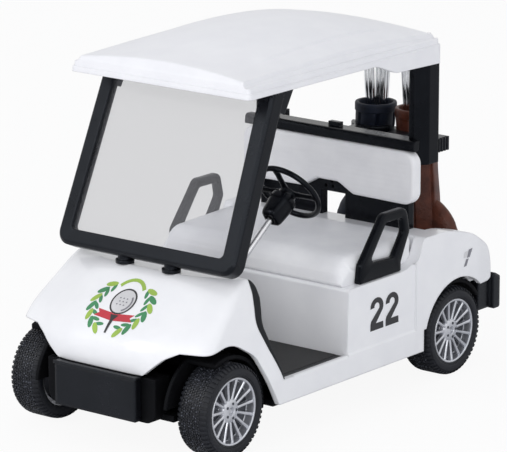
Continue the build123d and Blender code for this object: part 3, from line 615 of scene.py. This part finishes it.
def along_rows(rows, place):
    """Value at the place, by straight lines between the rows."""
    if place <= rows[0][0]:
        return rows[0][1]
    for (p, u), (q, v) in zip(rows, rows[1:]):
        if place <= q:
            return u + (v - u) * (place - p) / (q - p)
    return rows[-1][1]


def smooth_step(start, end, value):
    """0 before the start, 1 past the end, eased between."""
    t = min(1.0, max(0.0, (value - start) / (end - start)))
    return t * t * (3 - 2 * t)


def through_stations(y, column):
    """Cubic through the four roof stations."""
    total = 0.0
    for k, row in enumerate(STATIONS):
        share = 1.0
        for n, other in enumerate(STATIONS):
            if n != k:
                share *= (y - other[0]) / (row[0] - other[0])
        total += share * row[column]
    return total


def roof_height(x, y):
    """Height of the outer skin above the roof's base at a place in the plan."""
    side, front, rear = ROOF_HALF_W - abs(x), y - ROOF_FRONT, ROOF_REAR - y
    foot = along_rows(SKIRT, y)
    shoulder, crown = through_stations(y, 1), through_stations(y, 2)
    steps = [(0.5, 2.1), (0.62, 2.32), (0.85, 2.4), (1.3, 2.52)]
    steps += [(1.5, shoulder - 1.15), (1.7, shoulder - 0.85), (2.05, shoulder - 0.7)]
    steps += [(2.3, shoulder - 0.1), (EDGE_BAND, shoulder + 0.1)]
    arch = crown - (crown - shoulder - 0.1) * (x / (ROOF_HALF_W - EDGE_BAND)) ** 2
    height = along_rows([(0.0, foot)] + LIP + steps, side) if side < EDGE_BAND else arch
    for wall, inward in ((FRONT_WALL, front), (REAR_WALL, rear)):
        height = min(height, along_rows([(0.0, foot)] + wall, inward))
    panel = smooth_step(-PANEL_HALF_W - PANEL_EASE, -PANEL_HALF_W + PANEL_EASE, -abs(x))
    panel *= smooth_step(9.0, 18.0, front) * smooth_step(12.0, 17.0, rear)
    return height + PANEL_RISE * panel


insets = [0, 0.03, 0.15, 0.36, 0.46, 0.5, 0.62, 0.85, 1.08, 1.3]
insets += [1.5, 1.7, 1.88, 2.05, 2.3, EDGE_BAND, 2.9, 3.4, 4.2, 5.2]
panel_edge = [PANEL_HALF_W + d for d in (PANEL_EASE, 0.12, 0, -0.12, -PANEL_EASE)]
half = [ROOF_HALF_W - d for d in insets] + [19.0, 18.2] + panel_edge + [16.4, 14.5, 12.0, 9.0, 6.0, 3.0]
across = [-x for x in half] + [0.0] + half[::-1]
RUN_CUTS = 44
run_start, run_end = ROOF_FRONT + insets[-1], ROOF_REAR - insets[-1]
run = [run_start + (run_end - run_start) * k / RUN_CUTS for k in range(1, RUN_CUTS)]
lengthwise = [ROOF_FRONT + d for d in insets] + run + [ROOF_REAR - d for d in insets[::-1]]


def corner_place(x, y, inset):
    """Turn the square corners of the plan into arcs."""
    dx = abs(x) - (ROOF_HALF_W - inset - ROOF_CORNER)
    dy = max(ROOF_FRONT + inset + ROOF_CORNER - y, y - (ROOF_REAR - inset - ROOF_CORNER))
    if dx <= 0 or dy <= 0:
        return x, y
    share = max(dx, dy) / hypot(dx, dy)
    return copysign(abs(x) - dx + dx * share, x), y + copysign(dy - dy * share, -y)


def inside_place(value, low_edge, high_edge):
    """Place on the inner skin that answers to a place on the outer one."""
    for edge, sense in ((low_edge, 1), (high_edge, -1)):
        gap = (value - edge) * sense
        if gap < 2 * ROOF_WALL:
            return edge + sense * (ROOF_WALL + gap / 2)
    return value


bm = bmesh.new()
outer_grid, inner_grid = [], []
for y in lengthwise:
    outer_row, inner_row = [], []
    in_y = inside_place(y, ROOF_FRONT, ROOF_REAR)
    for x in across:
        px, py = corner_place(x, y, 0.0)
        outer_row.append(bm.verts.new((px * MM, py * MM, (ROOF_BASE + roof_height(x, y)) * MM)))
        in_x = inside_place(x, -ROOF_HALF_W, ROOF_HALF_W)
        on_edge = x in (across[0], across[-1]) or y in (lengthwise[0], lengthwise[-1])
        height = along_rows(SKIRT, y) if on_edge else max(roof_height(in_x, in_y) - ROOF_WALL, 0.1)
        px, py = corner_place(in_x, in_y, ROOF_WALL)
        inner_row.append(bm.verts.new((px * MM, py * MM, (ROOF_BASE + height) * MM)))
    outer_grid.append(outer_row)
    inner_grid.append(inner_row)


def border(grid):
    """The grid's edge vertices in order, from the last one round to itself."""
    edge = grid[0] + [row[-1] for row in grid[1:]] + grid[-1][-2::-1] + [row[0] for row in grid[-2:0:-1]]
    return edge[-1:] + edge


for rows in (outer_grid, inner_grid, [border(outer_grid), border(inner_grid)]):
    skin(bm, rows, round_trip=False)
roof_skin = to_object("roof_moulding", bm, [roof_white], 36)
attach(roof_skin, "cart")
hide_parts("roof")

# ---------------- bag tray and holder
# The tray is of the same matt black plastic as the chassis.
# The holder is a fluted bar with two yokes, in the plastic of the screen frame.
dress(under_plastic, "bag_tray")
dress(black_plastic, "bag_strap")

# ---------------- golf bags
# Two bags with padded collars, piped seams and a ball pocket on the outer side.
# One has the look of brown leather, the other of navy cloth.
BAG_X, BAG_Y, BAG_R, BAG_TOP, BAG_FOOT, LEAN = 5.5, 52.4, 4.7, 58.0, 22.2, 2.7
BAG_STEPS, BAG_FLARE, COLLAR = 96, 0.3, 2.2
SEAMS = [radians(-12 + 60 * k) for k in range(6)]
SEAM_DEPTH, SEAM_HALF_W, FACET_APOTHEM, WAVE = 0.65, 0.42, 0.885, 0.05
PIPED_LEVELS, PIPED_DEPTH, PIPED_HALF_W = (26.0, 51.6), 0.14, 0.5
# (place from the top, reach beyond the side) over the collar and down the inside
COLLAR_ROWS = [
    (-COLLAR, 0.05), (-2.0, 0.3), (-1.0, 0.3), (-0.35, 0.3), (-0.08, 0.15),
    (0.0, -0.2), (-0.1, -0.55), (-0.5, -0.7), (-4.9, -0.7), (-5.0, -4.6),
]
POCKET_X, POCKET_REACH, POCKET_DEPTH, POCKET_H, POCKET_SEAM, POCKET_SHIFT = 3.4, 18.0, 2.9, 14.6, 8.6, 0.9


def side_radius(r, z, a):
    """Radius of the bag's side: six soft facets, seams between them, two piped levels, slight waves."""
    off_seam = min(abs((a - s + pi) % (2 * pi) - pi) for s in SEAMS)
    facet = FACET_APOTHEM / cos(pi / 6 - off_seam)
    r += 0.22 + (facet - 1) * r * 0.8 * smooth_step(2.0, 14.0, BAG_TOP - z)
    r -= SEAM_DEPTH * max(0.0, 1 - (off_seam * r / SEAM_HALF_W) ** 2)
    for level in PIPED_LEVELS:
        r -= PIPED_DEPTH * max(0.0, 1 - ((z - level) / PIPED_HALF_W) ** 2)
    return r + WAVE * sin(3 * a + z * 0.5) - 0.16


def bag_mesh(bm):
    """The left bag with seams, collar and pocket."""
    rows = []
    z = BAG_FOOT + 0.05
    while z < BAG_TOP - 2.3:
        rows.append((z, None))
        z += 0.7
    rows += [(BAG_TOP - 2.25, None)] + [(BAG_TOP + down, beyond) for down, beyond in COLLAR_ROWS]
    rings = []
    for z, beyond in rows:
        t = min(1.0, (z - BAG_FOOT) / (BAG_TOP - COLLAR - BAG_FOOT))
        cx = BAG_X + 0.35 * t + LEAN * (1 - t)
        ring = []
        for k in range(BAG_STEPS):
            a = 2 * pi * k / BAG_STEPS
            r = BAG_R + BAG_FLARE * (1 - t)
            r = side_radius(r, z, a) if beyond is None else r + beyond
            ring.append(bm.verts.new(((cx + r * cos(a)) * MM, (BAG_Y + r * sin(a)) * MM, z * MM)))
        rings.append(ring)
    skin(bm, rings)
    bm.faces.new(rings[0][::-1])
    bm.faces.new(rings[-1])
    rings = []
    for n in range(17):
        t = n / 16
        z = BAG_FOOT + 0.05 + POCKET_H * t
        reach = POCKET_REACH - 7.2 * t**3.6
        deep = POCKET_DEPTH * (1 - t**3.2) ** 0.5
        on_seam = abs(z - (BAG_FOOT + POCKET_SEAM)) < 0.5
        ring = []
        for k in range(28):
            a = -pi / 2 + pi * k / 27
            x = BAG_X + POCKET_X + (reach - BAG_X - POCKET_X) * abs(cos(a)) ** 0.62 - 0.1 * on_seam
            y = (deep + 0.001) * sin(a) * (1 - 0.06 * cos(2 * a))
            ring.append(bm.verts.new((x * MM, (BAG_Y + POCKET_SHIFT + y) * MM, z * MM)))
        rings.append(ring)
    skin(bm, rings)
    bm.faces.new(rings[0][::-1])


def cloth(name, dark, light, rough, weave, depth):
    """A leather or woven look: cells or threads as bump, with uneven tone."""
    made, tree, shader = new_material(name, {"Roughness": rough, "Specular IOR Level": 0.25})
    place = add(tree, "ShaderNodeTexCoord")
    if weave:
        pattern, height = add(tree, "ShaderNodeTexChecker", Scale=3600.0), "Fac"
    else:
        pattern, height = add(tree, "ShaderNodeTexVoronoi", Scale=2300.0), "Distance"
    patch = add(tree, "ShaderNodeTexNoise", Scale=420.0, Detail=6.0)
    bump = add(tree, "ShaderNodeBump", Strength=0.7, Distance=depth)
    wire(
        tree,
        place, "Object", pattern, "Vector",
        place, "Object", patch, "Vector",
        pattern, height, bump, "Height",
        bump, "Normal", shader, "Normal",
    )
    tinted(tree, shader, patch, dark, light)
    return made


bag_leather = cloth("bag_leather", (0.058, 0.0160, 0.0090), (0.105, 0.030, 0.0170), 0.42, False, 0.00006)
bag_cloth = cloth("bag_cloth", (0.0030, 0.0052, 0.0130), (0.0062, 0.0105, 0.0240), 0.55, True, 0.00004)
bm = bmesh.new()
bag_mesh(bm)
brown_bag = to_object("golf_bag_brown", bm, [bag_leather], 50)
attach(brown_bag, "cart")
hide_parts("bag_brown")
bm = bmesh.new()
bag_mesh(bm)
bm.transform(Matrix.Scale(-1, 4, (1, 0, 0)))
navy_bag = to_object("golf_bag_navy", bm, [bag_cloth], 50)
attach(navy_bag, "cart")
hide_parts("bag_navy")

# ---------------- clubs
# Five chromed clubs stand in each bag, a little fanned out.
# They thicken at the collar, and have plain iron heads at the top.
chrome = coated(
    "club_chrome", (0.60, 0.61, 0.63), (0.86, 0.87, 0.88), 900.0, 0.00001, 0.00012, 0.14, 0.04,
    {"Metallic": 1.0},
)
# (across, along, top) of each club in its bag, then (share of the length, radius) up a club
CLUBS = [(-2.05, -0.7, 72.6), (-0.35, -1.75, 71.8), (0.15, 0.35, 74.2), (1.75, -0.15, 73.0), (1.2, 1.7, 74.6)]
CLUB_ROWS = [(0.0, 0.60), (0.20, 0.66), (0.24, 0.80), (0.78, 0.84), (0.82, 0.66), (1.0, 0.70)]
BLADE = [(-0.45, -0.9), (0.55, -0.9), (1.25, 0.1), (1.15, 0.95), (0.2, 0.95), (-0.5, 0.3)]
for side, name in ((1, "clubs_left"), (-1, "clubs_right")):
    bm = bmesh.new()
    for cx, cy, top_z in CLUBS:
        foot = Vector((side * BAG_X + cx * 0.8, BAG_Y + cy * 0.8, BAG_TOP - 5.0))
        tip = Vector((side * BAG_X + cx * 1.35, BAG_Y + cy * 1.35, top_z))
        run = (tip - foot).normalized()
        cross_x = run.cross(Vector((0, 1, 0))).normalized()
        cross_y = run.cross(cross_x)
        rings = []
        for t, r in CLUB_ROWS:
            centre = foot.lerp(tip, t)
            around = [cross_x * cos(2 * pi * k / 14) + cross_y * sin(2 * pi * k / 14) for k in range(14)]
            rings.append([bm.verts.new((centre + out * r) * MM) for out in around])
        blades = []
        for d, shrink in ((-0.5, 0.82), (-0.3, 1.0), (0.3, 1.0), (0.5, 0.82)):
            spots = [tip + Vector((d, y * shrink, z * shrink)) for y, z in BLADE]
            blades.append([bm.verts.new(p * MM) for p in spots])
        for rows in (rings, blades):
            capped(bm, rows)
    club_set = to_object(name + "_irons", bm, [chrome], 40)
    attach(club_set, "cart")
    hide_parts(name)

# ---------------- wheels
# Silver plated rims with fifteen spokes, pressed on steel rods, and soft vinyl tyres.
# The tread is staggered rows of small blocks, each a little out of line, flecked with pale specks that are
# painted highlights.
# Lugs carry it over the shoulders.
AXLES = [("front", -0.0434), ("rear", 0.0381)]
AXLE_Z, RIM_R = 0.0105, 7.6
IN_X, OUT_X = 19.8, 28.0
TREAD_ROWS, TREAD_AROUND, TREAD_R, TREAD_IN = 8, 100, 10.24, 1.85
STRAY, SWAY, LUGS, LUG_HALF_A, SPOKES, NUTS, NUT_CIRCLE = 0.17, 0.11, 54, 0.030, 15, 5, 1.65
# (radius, place along the axle) of the sections that are turned
TYRE_ROWS = [
    (RIM_R + 0.02, IN_X + 0.5), (7.9, IN_X + 0.30), (8.4, IN_X + 0.10), (9.0, IN_X + 0.06), (9.6, IN_X + 0.3),
    (9.95, IN_X + 0.75), (10.18, IN_X + 1.25), (10.24, IN_X + 2.2), (10.26, (IN_X + OUT_X) / 2),
    (10.24, OUT_X - 2.2), (10.18, OUT_X - 1.25), (9.95, OUT_X - 0.75), (9.62, OUT_X - 0.34),
    (9.5, OUT_X - 0.30), (9.44, OUT_X - 0.16), (9.0, OUT_X - 0.04), (8.4, OUT_X - 0.06),
    (8.05, OUT_X - 0.20), (7.98, OUT_X - 0.34), (7.84, OUT_X - 0.30), (RIM_R + 0.02, OUT_X - 0.45),
]
RIM_ROWS = [
    (7.58, 20.9), (7.58, 27.45), (7.48, 27.66), (7.28, 27.70), (7.06, 27.58),
    (7.0, 27.3), (6.95, 25.6), (6.6, 25.3), (6.6, 21.2), (7.2, 20.9),
]
HUB_ROWS = [
    (0.82, 26.2), (0.86, 26.85), (0.96, 27.0), (1.3, 27.02), (2.1, 26.9),
    (2.6, 26.66), (2.8, 26.3), (2.85, 25.3), (0.82, 25.3),
]
DISC_ROWS = [(0.05, 25.2), (6.97, 25.2), (6.97, 25.5), (0.05, 25.5)]
BORE_ROWS = [(0.05, 25.9), (0.84, 25.9), (0.84, 26.2), (0.05, 26.2)]
NUT_ROWS = [(0.02, 26.9), (0.02, 27.12), (0.24, 27.12), (0.33, 27.04), (0.33, 26.8)]
# (half width, height) of a tread block's foot and top
BLOCK_ENDS = [(0.22, -0.30), (0.14, 0.24)]
# (radius, depth in from the side) round a lug, and (radius, half width, face) along a spoke
LUG_ROWS = [(9.72, 0.10), (10.12, 0.42), (10.40, 1.0), (10.46, 1.55), (10.05, 1.55), (9.6, 0.7)]
SPOKE_ROWS = [(2.5, 0.34, 26.75), (3.6, 0.30, 26.85), (5.2, 0.31, 27.05)]
SPOKE_ROWS += [(6.6, 0.36, 27.28), (7.05, 0.40, 27.32)]
silver = coated(
    "wheel_silver", (0.52, 0.535, 0.575), (0.64, 0.65, 0.69), 2200.0, 0.000012, 0.00012, 0.34, 0.05,
    {"Metallic": 0.85},
)
# Dark grey as painted shade: the silver web behind the spokes and the bore take this dark in place of the
# shadow in them; the nuts share it.
painted_shade_dark = coated(
    "wheel_recess", (0.030, 0.033, 0.042), (0.075, 0.080, 0.095), 2200.0, 0.000012, 0.00012, 0.5, 0.05,
    {"Metallic": 0.3},
)
rubber = coated(
    "tyre_rubber", (0.0060, 0.0070, 0.0105), (0.0115, 0.0132, 0.0185), 4200.0, 0.00003, 0.0001, 0.56, 0.08,
    {"Specular IOR Level": 0.3},
)
# Pale specks on the dark tread are painted highlights: glints of light on the block edges put into the
# colour.
painted_glint_tread = coated(
    "tread_rubber", (0.0045, 0.0055, 0.0090), (0.085, 0.092, 0.115), 4200.0, 0.00003, 0.0001, 0.42, 0.08,
    blotch=(1700.0, 1.0), span=(0.50, 0.68),
)
dress(rod_steel, "front_axle_rod", "rear_axle_rod")


def tyre_mesh(bm):
    """The left tyre round the X axis, with lugs on both shoulders."""
    revolve(bm, TYRE_ROWS, 96)
    for lug_x, lean in ((OUT_X, -1), (IN_X, 1)):
        for k in range(LUGS):
            middle_a = 2 * pi * (k + (0.5 if lean > 0 else 0)) / LUGS
            lug = []
            for r, dx in LUG_ROWS:
                turns = (middle_a - LUG_HALF_A, middle_a + LUG_HALF_A)
                x = (lug_x + lean * dx) * MM
                lug.append([bm.verts.new((x, r * cos(a) * MM, r * sin(a) * MM)) for a in turns])
            skin(bm, lug + lug[:1], round_trip=False)
            bm.faces.new([p[0] for p in lug])
            bm.faces.new([p[1] for p in lug])


def tread_block():
    """One block of the tread, on the Y axis."""
    bm = bmesh.new()
    corners = [(-1, -1), (1, -1), (1, 1), (-1, 1)]
    low, high = (
        [bm.verts.new((sx * half * MM, y * MM, sz * half * MM)) for sx, sz in corners]
        for half, y in BLOCK_ENDS
    )
    bm.faces.new(high)
    skin(bm, [low, high])
    bm.faces.new(low[::-1])
    return to_object("tread_block", bm, [painted_glint_tread])


def tread_places(to_place):
    """Staggered rows of places round the tyre, each one a little astray."""
    places = []
    for row in range(TREAD_ROWS):
        x = IN_X + TREAD_IN + (OUT_X - IN_X - 2 * TREAD_IN) * row / (TREAD_ROWS - 1)
        for k in range(TREAD_AROUND):
            stray, sway = sin(12.99 * k + 78.23 * row), sin(39.35 * k + 11.14 * row)
            a = 2 * pi * (k + 0.5 * (row % 2) + STRAY * stray) / TREAD_AROUND
            spot = ((x + SWAY * sway) * MM, TREAD_R * cos(a) * MM, TREAD_R * sin(a) * MM)
            places.append((to_place @ Vector(spot), (a, 0.0, 0.0)))
    return places


def rim_mesh(bm):
    """The left rim round the X axis: outer ring and hub, with a disc and bore darkened as painted shade."""
    revolve(bm, RIM_ROWS, 90)
    revolve(bm, DISC_ROWS, 60, finish=1)
    revolve(bm, HUB_ROWS, 48)
    revolve(bm, BORE_ROWS, 20, finish=1)


def spoke_shape(side):
    """One bevelled spoke along the Y axis."""
    bm = bmesh.new()
    ends = []
    for reach, wide, x in SPOKE_ROWS:
        profile = [(-wide, x - 1.0), (-wide, x - 0.12), (-wide * 0.45, x + 0.08)]
        profile += [(-w, px) for w, px in profile[::-1]]
        ends.append([bm.verts.new((side * px * MM, reach * MM, w * MM)) for w, px in profile])
    capped(bm, ends)
    return to_object("spoke", bm, [silver], 30)


def nut_shape(side):
    """One wheel nut on its circle, at the Y axis, in the same dark as the painted shade of the disc."""
    bm = bmesh.new()
    revolve(bm, [(r, side * x) for r, x in NUT_ROWS], 10, centre=(0, NUT_CIRCLE, 0))
    return to_object("nut", bm, [painted_shade_dark], 30)


for end, axle_y in AXLES:
    for side, hand in ((1, "left"), (-1, "right")):
        body, centre = end + "_axle", (0, axle_y, AXLE_Z)
        to_place = Matrix.Translation(centre) @ Matrix.Scale(side, 4, (1, 0, 0))
        bm = bmesh.new()
        tyre_mesh(bm)
        bm.transform(to_place)
        tyre = to_object(f"{end}_{hand}_tyre", bm, [rubber], 38)
        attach(tyre, body)
        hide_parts(f"{end}_tyre_{hand}")
        spread_copies(f"{end}_{hand}_tread", tread_block(), tread_places(to_place), painted_glint_tread, body)
        bm = bmesh.new()
        rim_mesh(bm)
        bm.transform(to_place)
        rim = to_object(f"{end}_{hand}_rim", bm, [silver, painted_shade_dark], 34)
        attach(rim, body)
        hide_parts(f"{end}_rim_{hand}")
        places = [(centre, (2 * pi * (k + 0.25) / SPOKES, 0, 0)) for k in range(SPOKES)]
        spread_copies(f"{end}_{hand}_spokes", spoke_shape(side), places, silver, body)
        places = [(centre, (2 * pi * k / NUTS, 0, 0)) for k in range(NUTS)]
        spread_copies(f"{end}_{hand}_nuts", nut_shape(side), places, painted_shade_dark, body)

# ---------------- graphics
# Pad-printed marks: a plain number on each side, a small mark on each fender and a badge on the cowl.
# The ink is a few hundredths of a millimetre thick and follows the casting.
casting = bmesh.new()
casting.from_mesh(nodes["body_casting"].data)
casting_tree = BVHTree.FromBMesh(casting)
LONGEST_EDGE = 0.8


def ink(name, colour):
    """Printed ink, a little darker in patches."""
    dark = tuple(c * 0.85 for c in colour)
    return coated(name, dark, colour, 3000.0, 0.000008, 0.00003, 0.4, 0.05)


ink_black = ink("ink_black", (0.014, 0.014, 0.017))
ink_grey = ink("ink_grey", (0.22, 0.22, 0.25))
ink_green = ink("ink_green", (0.045, 0.25, 0.10))
ink_lime = ink("ink_lime", (0.34, 0.52, 0.08))
ink_red = ink("ink_red", (0.55, 0.03, 0.05))
ink_pale = ink("ink_pale", (0.70, 0.70, 0.72))


def print_on(name, shapes, origin, right, up, finishes, lift=0.00005):
    """Flat polygons (points, finish) thrown onto the casting, square to the right/up plane.

    Points are in millimetres, the origin and the lift off the casting in metres.
    """
    right, up = Vector(right).normalized(), Vector(up).normalized()
    towards = -right.cross(up)
    bm = bmesh.new()
    for points, finish in shapes:
        face = bm.faces.new([bm.verts.new((x, y, 0)) for x, y in points])
        face.material_index = finish
    bmesh.ops.triangulate(bm, faces=bm.faces)
    for _ in range(3):
        long_edges = [e for e in bm.edges if e.calc_length() > LONGEST_EDGE]
        if not long_edges:
            break
        bmesh.ops.subdivide_edges(bm, edges=long_edges, cuts=1)
        bmesh.ops.triangulate(bm, faces=bm.faces)
    missed = []
    for v in bm.verts:
        start = Vector(origin) + right * v.co.x * MM + up * v.co.y * MM - towards * 0.02
        hit = casting_tree.ray_cast(start, towards)[0]
        if hit is None:
            missed.append(v)
        else:
            v.co = hit - towards * lift
    bmesh.ops.delete(bm, geom=missed, context="VERTS")
    made = meshed(name, bm, finishes)
    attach(made, "cart")


def oval(cx, cy, rx, ry, count=24, turn=0.0, start=0.0, sweep=2 * pi):
    """Points of an oval, or of part of one."""
    points = []
    for k in range(count):
        a = start + sweep * k / (count if sweep >= 2 * pi else count - 1)
        x, y = rx * cos(a), ry * sin(a)
        points.append((cx + x * cos(turn) - y * sin(turn), cy + x * sin(turn) + y * cos(turn)))
    return points


def band(cx, cy, rx, ry, thick, start, sweep, count=14):
    """Quads along an oval arc."""
    outer = oval(cx, cy, rx, ry, count, 0, start, sweep)
    inner = oval(cx, cy, rx - thick, ry - thick, count, 0, start, sweep)
    return [[outer[k], outer[k + 1], inner[k + 1], inner[k]] for k in range(count - 1)]


# numeral as strokes: a hooked bowl, a diagonal and a foot
bowl_outer = oval(2.45, 5.35, 2.45, 2.15, 12, 0, radians(186), radians(-214))
bowl_inner = oval(2.45, 5.35, 0.95, 0.95, 12, 0, radians(186), radians(-214))
digit = [[bowl_outer[k], bowl_outer[k + 1], bowl_inner[k + 1], bowl_inner[k]] for k in range(11)]
digit.append([bowl_outer[11], (2.05, 1.5), (0.05, 1.5), (0.25, 2.2), bowl_inner[11]])
digit.append([(0.05, 1.55), (4.85, 1.55), (4.95, 0.0), (0.0, 0.0)])
number = [([(x + shift, y) for x, y in quad], 0) for shift in (0.0, 5.75) for quad in digit]
print_on("number_left", number, (0.029, 0.0044, 0.0179), (0, 1, 0), (0, 0, 1), [ink_black])
print_on("number_right", number, (-0.029, 0.0151, 0.0179), (0, -1, 0), (0, 0, 1), [ink_black])
mark = [
    ([(0.2, 0.0), (1.3, 0.1), (2.1, 1.7), (1.1, 1.7)], 0),
    ([(1.4, 1.95), (2.5, 1.95), (3.6, 3.9), (2.1, 3.8)], 0),
    ([(0.0, 2.1), (1.2, 2.1), (1.8, 3.6), (0.5, 3.5)], 1),
]
print_on("fender_mark_left", mark, (0.029, 0.0396, 0.0256), (0, 1, 0), (0, 0, 1), [ink_grey, ink_pale])
print_on("fender_mark_right", mark, (-0.029, 0.0416, 0.0256), (0, -1, 0), (0, 0, 1), [ink_grey, ink_pale])
# badge: leaves on both sides, a band over the top, a tee, a ribbon and a ball with dimples
badge = []
for sign in (1, -1):
    for k in range(7):
        a = radians(-66 + 18 * k)
        cx, cy = sign * 7.6 * cos(a), 7.3 * sin(a)
        tilt_a = a + pi / 2 if sign > 0 else pi / 2 - a
        badge.append((oval(cx, cy, 1.55, 0.66, 12, tilt_a + 0.55 * sign), 0 if k % 2 else 1))
        badge.append((oval(cx * 0.82, cy * 0.82, 1.15, 0.45, 12, tilt_a - 0.55 * sign), 0))
badge += [(quad, 1) for quad in band(0, 0.6, 4.9, 6.9, 0.9, radians(42), radians(96))]
badge.append(([(-1.1, -2.6), (1.1, -2.6), (0.42, -3.9), (0.25, -7.3), (-0.25, -7.3), (-0.42, -3.9)], 3))
ribbon = [(-5.3, -3.6), (-4.3, -2.7), (-5.1, -1.7), (0.0, -2.3)]
ribbon += [(5.1, -1.7), (4.3, -2.7), (5.3, -3.6), (0.0, -4.2)]
badge.append((ribbon, 2))
badge.append((oval(0, 1.1, 3.2, 3.5, 32), 5))
badge += [(quad, 3) for quad in band(0, 1.1, 3.2, 3.5, 0.4, 0.0, 2 * pi - 0.001, 32)]
badge += [(quad, 4) for quad in band(0.1, 1.0, 2.3, 2.6, 0.42, radians(-70), radians(110))]
dimples = [(-1.3 + 0.95 * k + 0.3 * (row % 2), 1.9 - 0.85 * row) for row in range(3) for k in range(3)]
badge += [(oval(x, y, 0.2, 0.18, 8), 4) for x, y in dimples]
layers = [ink_green, ink_lime, ink_red, ink_black, ink_grey, ink_pale]
lifts = (0.00004, 0.00005, 0.00005, 0.00008, 0.00010, 0.00006)
BADGE_SPOT, BADGE_UP = (0.0008, -0.0491, 0.0309), (0, 0.62, 0.78)
for n, (finish, lift) in enumerate(zip(layers, lifts)):
    shapes = [(points, 0) for points, layer in badge if layer == n]
    print_on(f"badge_{finish.name[4:]}", shapes, BADGE_SPOT, (1, 0, 0), BADGE_UP, [finish], lift)
casting.free()

# ---------------- studio
# A pale floor, a soft white world, four disc lamps and the camera.
# World and floor look white to the camera, but light the model gently.


def backdrop_level(tree):
    """Full white seen directly, and a light grey where the clear pane is in front of it."""
    path = add(tree, "ShaderNodeLightPath")
    behind, level = maths(tree, "MINIMUM", 1.0), maths(tree, "MULTIPLY_ADD", -0.28, 1.0)
    wire(tree, path, "Transparent Depth", behind, 0, behind, 0, level, 0)
    return level


world = bpy.data.worlds.new("studio")
bpy.context.scene.world = world
world.use_nodes = True
tree = world.node_tree
tree.nodes.clear()
soft = add(tree, "ShaderNodeBackground", Color=(0.95, 0.965, 1.0, 1), Strength=0.54)
white = add(tree, "ShaderNodeBackground", Color=(1, 1, 1, 1), Strength=1.0)
world_out = add(tree, "ShaderNodeOutputWorld")
level = backdrop_level(tree)
path = add(tree, "ShaderNodeLightPath")
first, second = maths(tree, "MAXIMUM"), maths(tree, "MAXIMUM")
mix = add(tree, "ShaderNodeMixShader")
# white for camera, glossy and transmission rays, soft for all else
wire(
    tree,
    path, "Is Camera Ray", first, 0,
    path, "Is Glossy Ray", first, 1,
    first, 0, second, 0,
    path, "Is Transmission Ray", second, 1,
    second, 0, mix, "Fac",
    soft, 0, mix, 1,
    white, 0, mix, 2,
    level, 0, white, "Strength",
    mix, "Shader", world_out, "Surface",
)

FLOOR_R, FLOOR_Z = 4.0, -0.00002
bm = bmesh.new()
turns = [2 * pi * k / 64 for k in range(64)]
bm.faces.new([bm.verts.new((FLOOR_R * cos(t), FLOOR_R * sin(t), FLOOR_Z)) for t in turns])
paper_settings = {"Base Color": (0.86, 0.86, 0.87, 1), "Roughness": 0.8, "Specular IOR Level": 0.1}
floor_paper, tree, shader = new_material("floor_paper", paper_settings)
glow = add(tree, "ShaderNodeEmission", Color=(1, 1, 1, 1), Strength=1.0)
path = add(tree, "ShaderNodeLightPath")
share = maths(tree, "MULTIPLY", 0.92)
mix = add(tree, "ShaderNodeMixShader")
wire(
    tree,
    path, "Is Camera Ray", share, 0,
    share, 0, mix, "Fac",
    backdrop_level(tree), 0, glow, "Strength",
    shader, "BSDF", mix, 1,
    glow, "Emission", mix, 2,
    mix, "Shader", tree.nodes["Material Output"], "Surface",
)
studio_floor = to_object("studio_floor", bm, [floor_paper])

# name, place, size, power and colour
LAMPS = [
    ("key", (-0.50, -1.10, 0.85), 0.7, 6.05, (1.0, 1.0, 1.0)),
    ("front", (0.85, -1.00, 0.42), 0.7, 4.75, (1.0, 1.0, 1.0)),
    ("side", (1.25, 0.15, 0.60), 0.7, 1.4, (0.96, 0.98, 1.0)),
    ("top", (0.15, 0.10, 1.30), 0.9, 1.2, (1.0, 1.0, 1.0)),
]
for name, spot, size, power, colour in LAMPS:
    lamp = bpy.data.lights.new(name, "AREA")
    lamp.shape = "DISK"
    lamp.size = size
    lamp.energy = power
    lamp.color = colour
    holder = linked(name, lamp)
    holder.location = spot
    holder.rotation_euler = (Vector((0, 0, 0.04)) - Vector(spot)).to_track_quat("-Z", "Y").to_euler()

AZIMUTH, ELEVATION = radians(38.349), radians(14.319)
lens = bpy.data.cameras.new("camera")
lens.sensor_width = 36.0
lens.lens = 269.1
lens.clip_start = 0.01
camera = linked("camera", lens)
camera.location = (0.51525, -0.6530, 0.25108)
aim = -Vector((sin(AZIMUTH) * cos(ELEVATION), -cos(AZIMUTH) * cos(ELEVATION), sin(ELEVATION)))
camera.rotation_euler = aim.to_track_quat("-Z", "Y").to_euler()
bpy.context.scene.camera = camera
bpy.context.scene.view_settings.view_transform = "Standard"
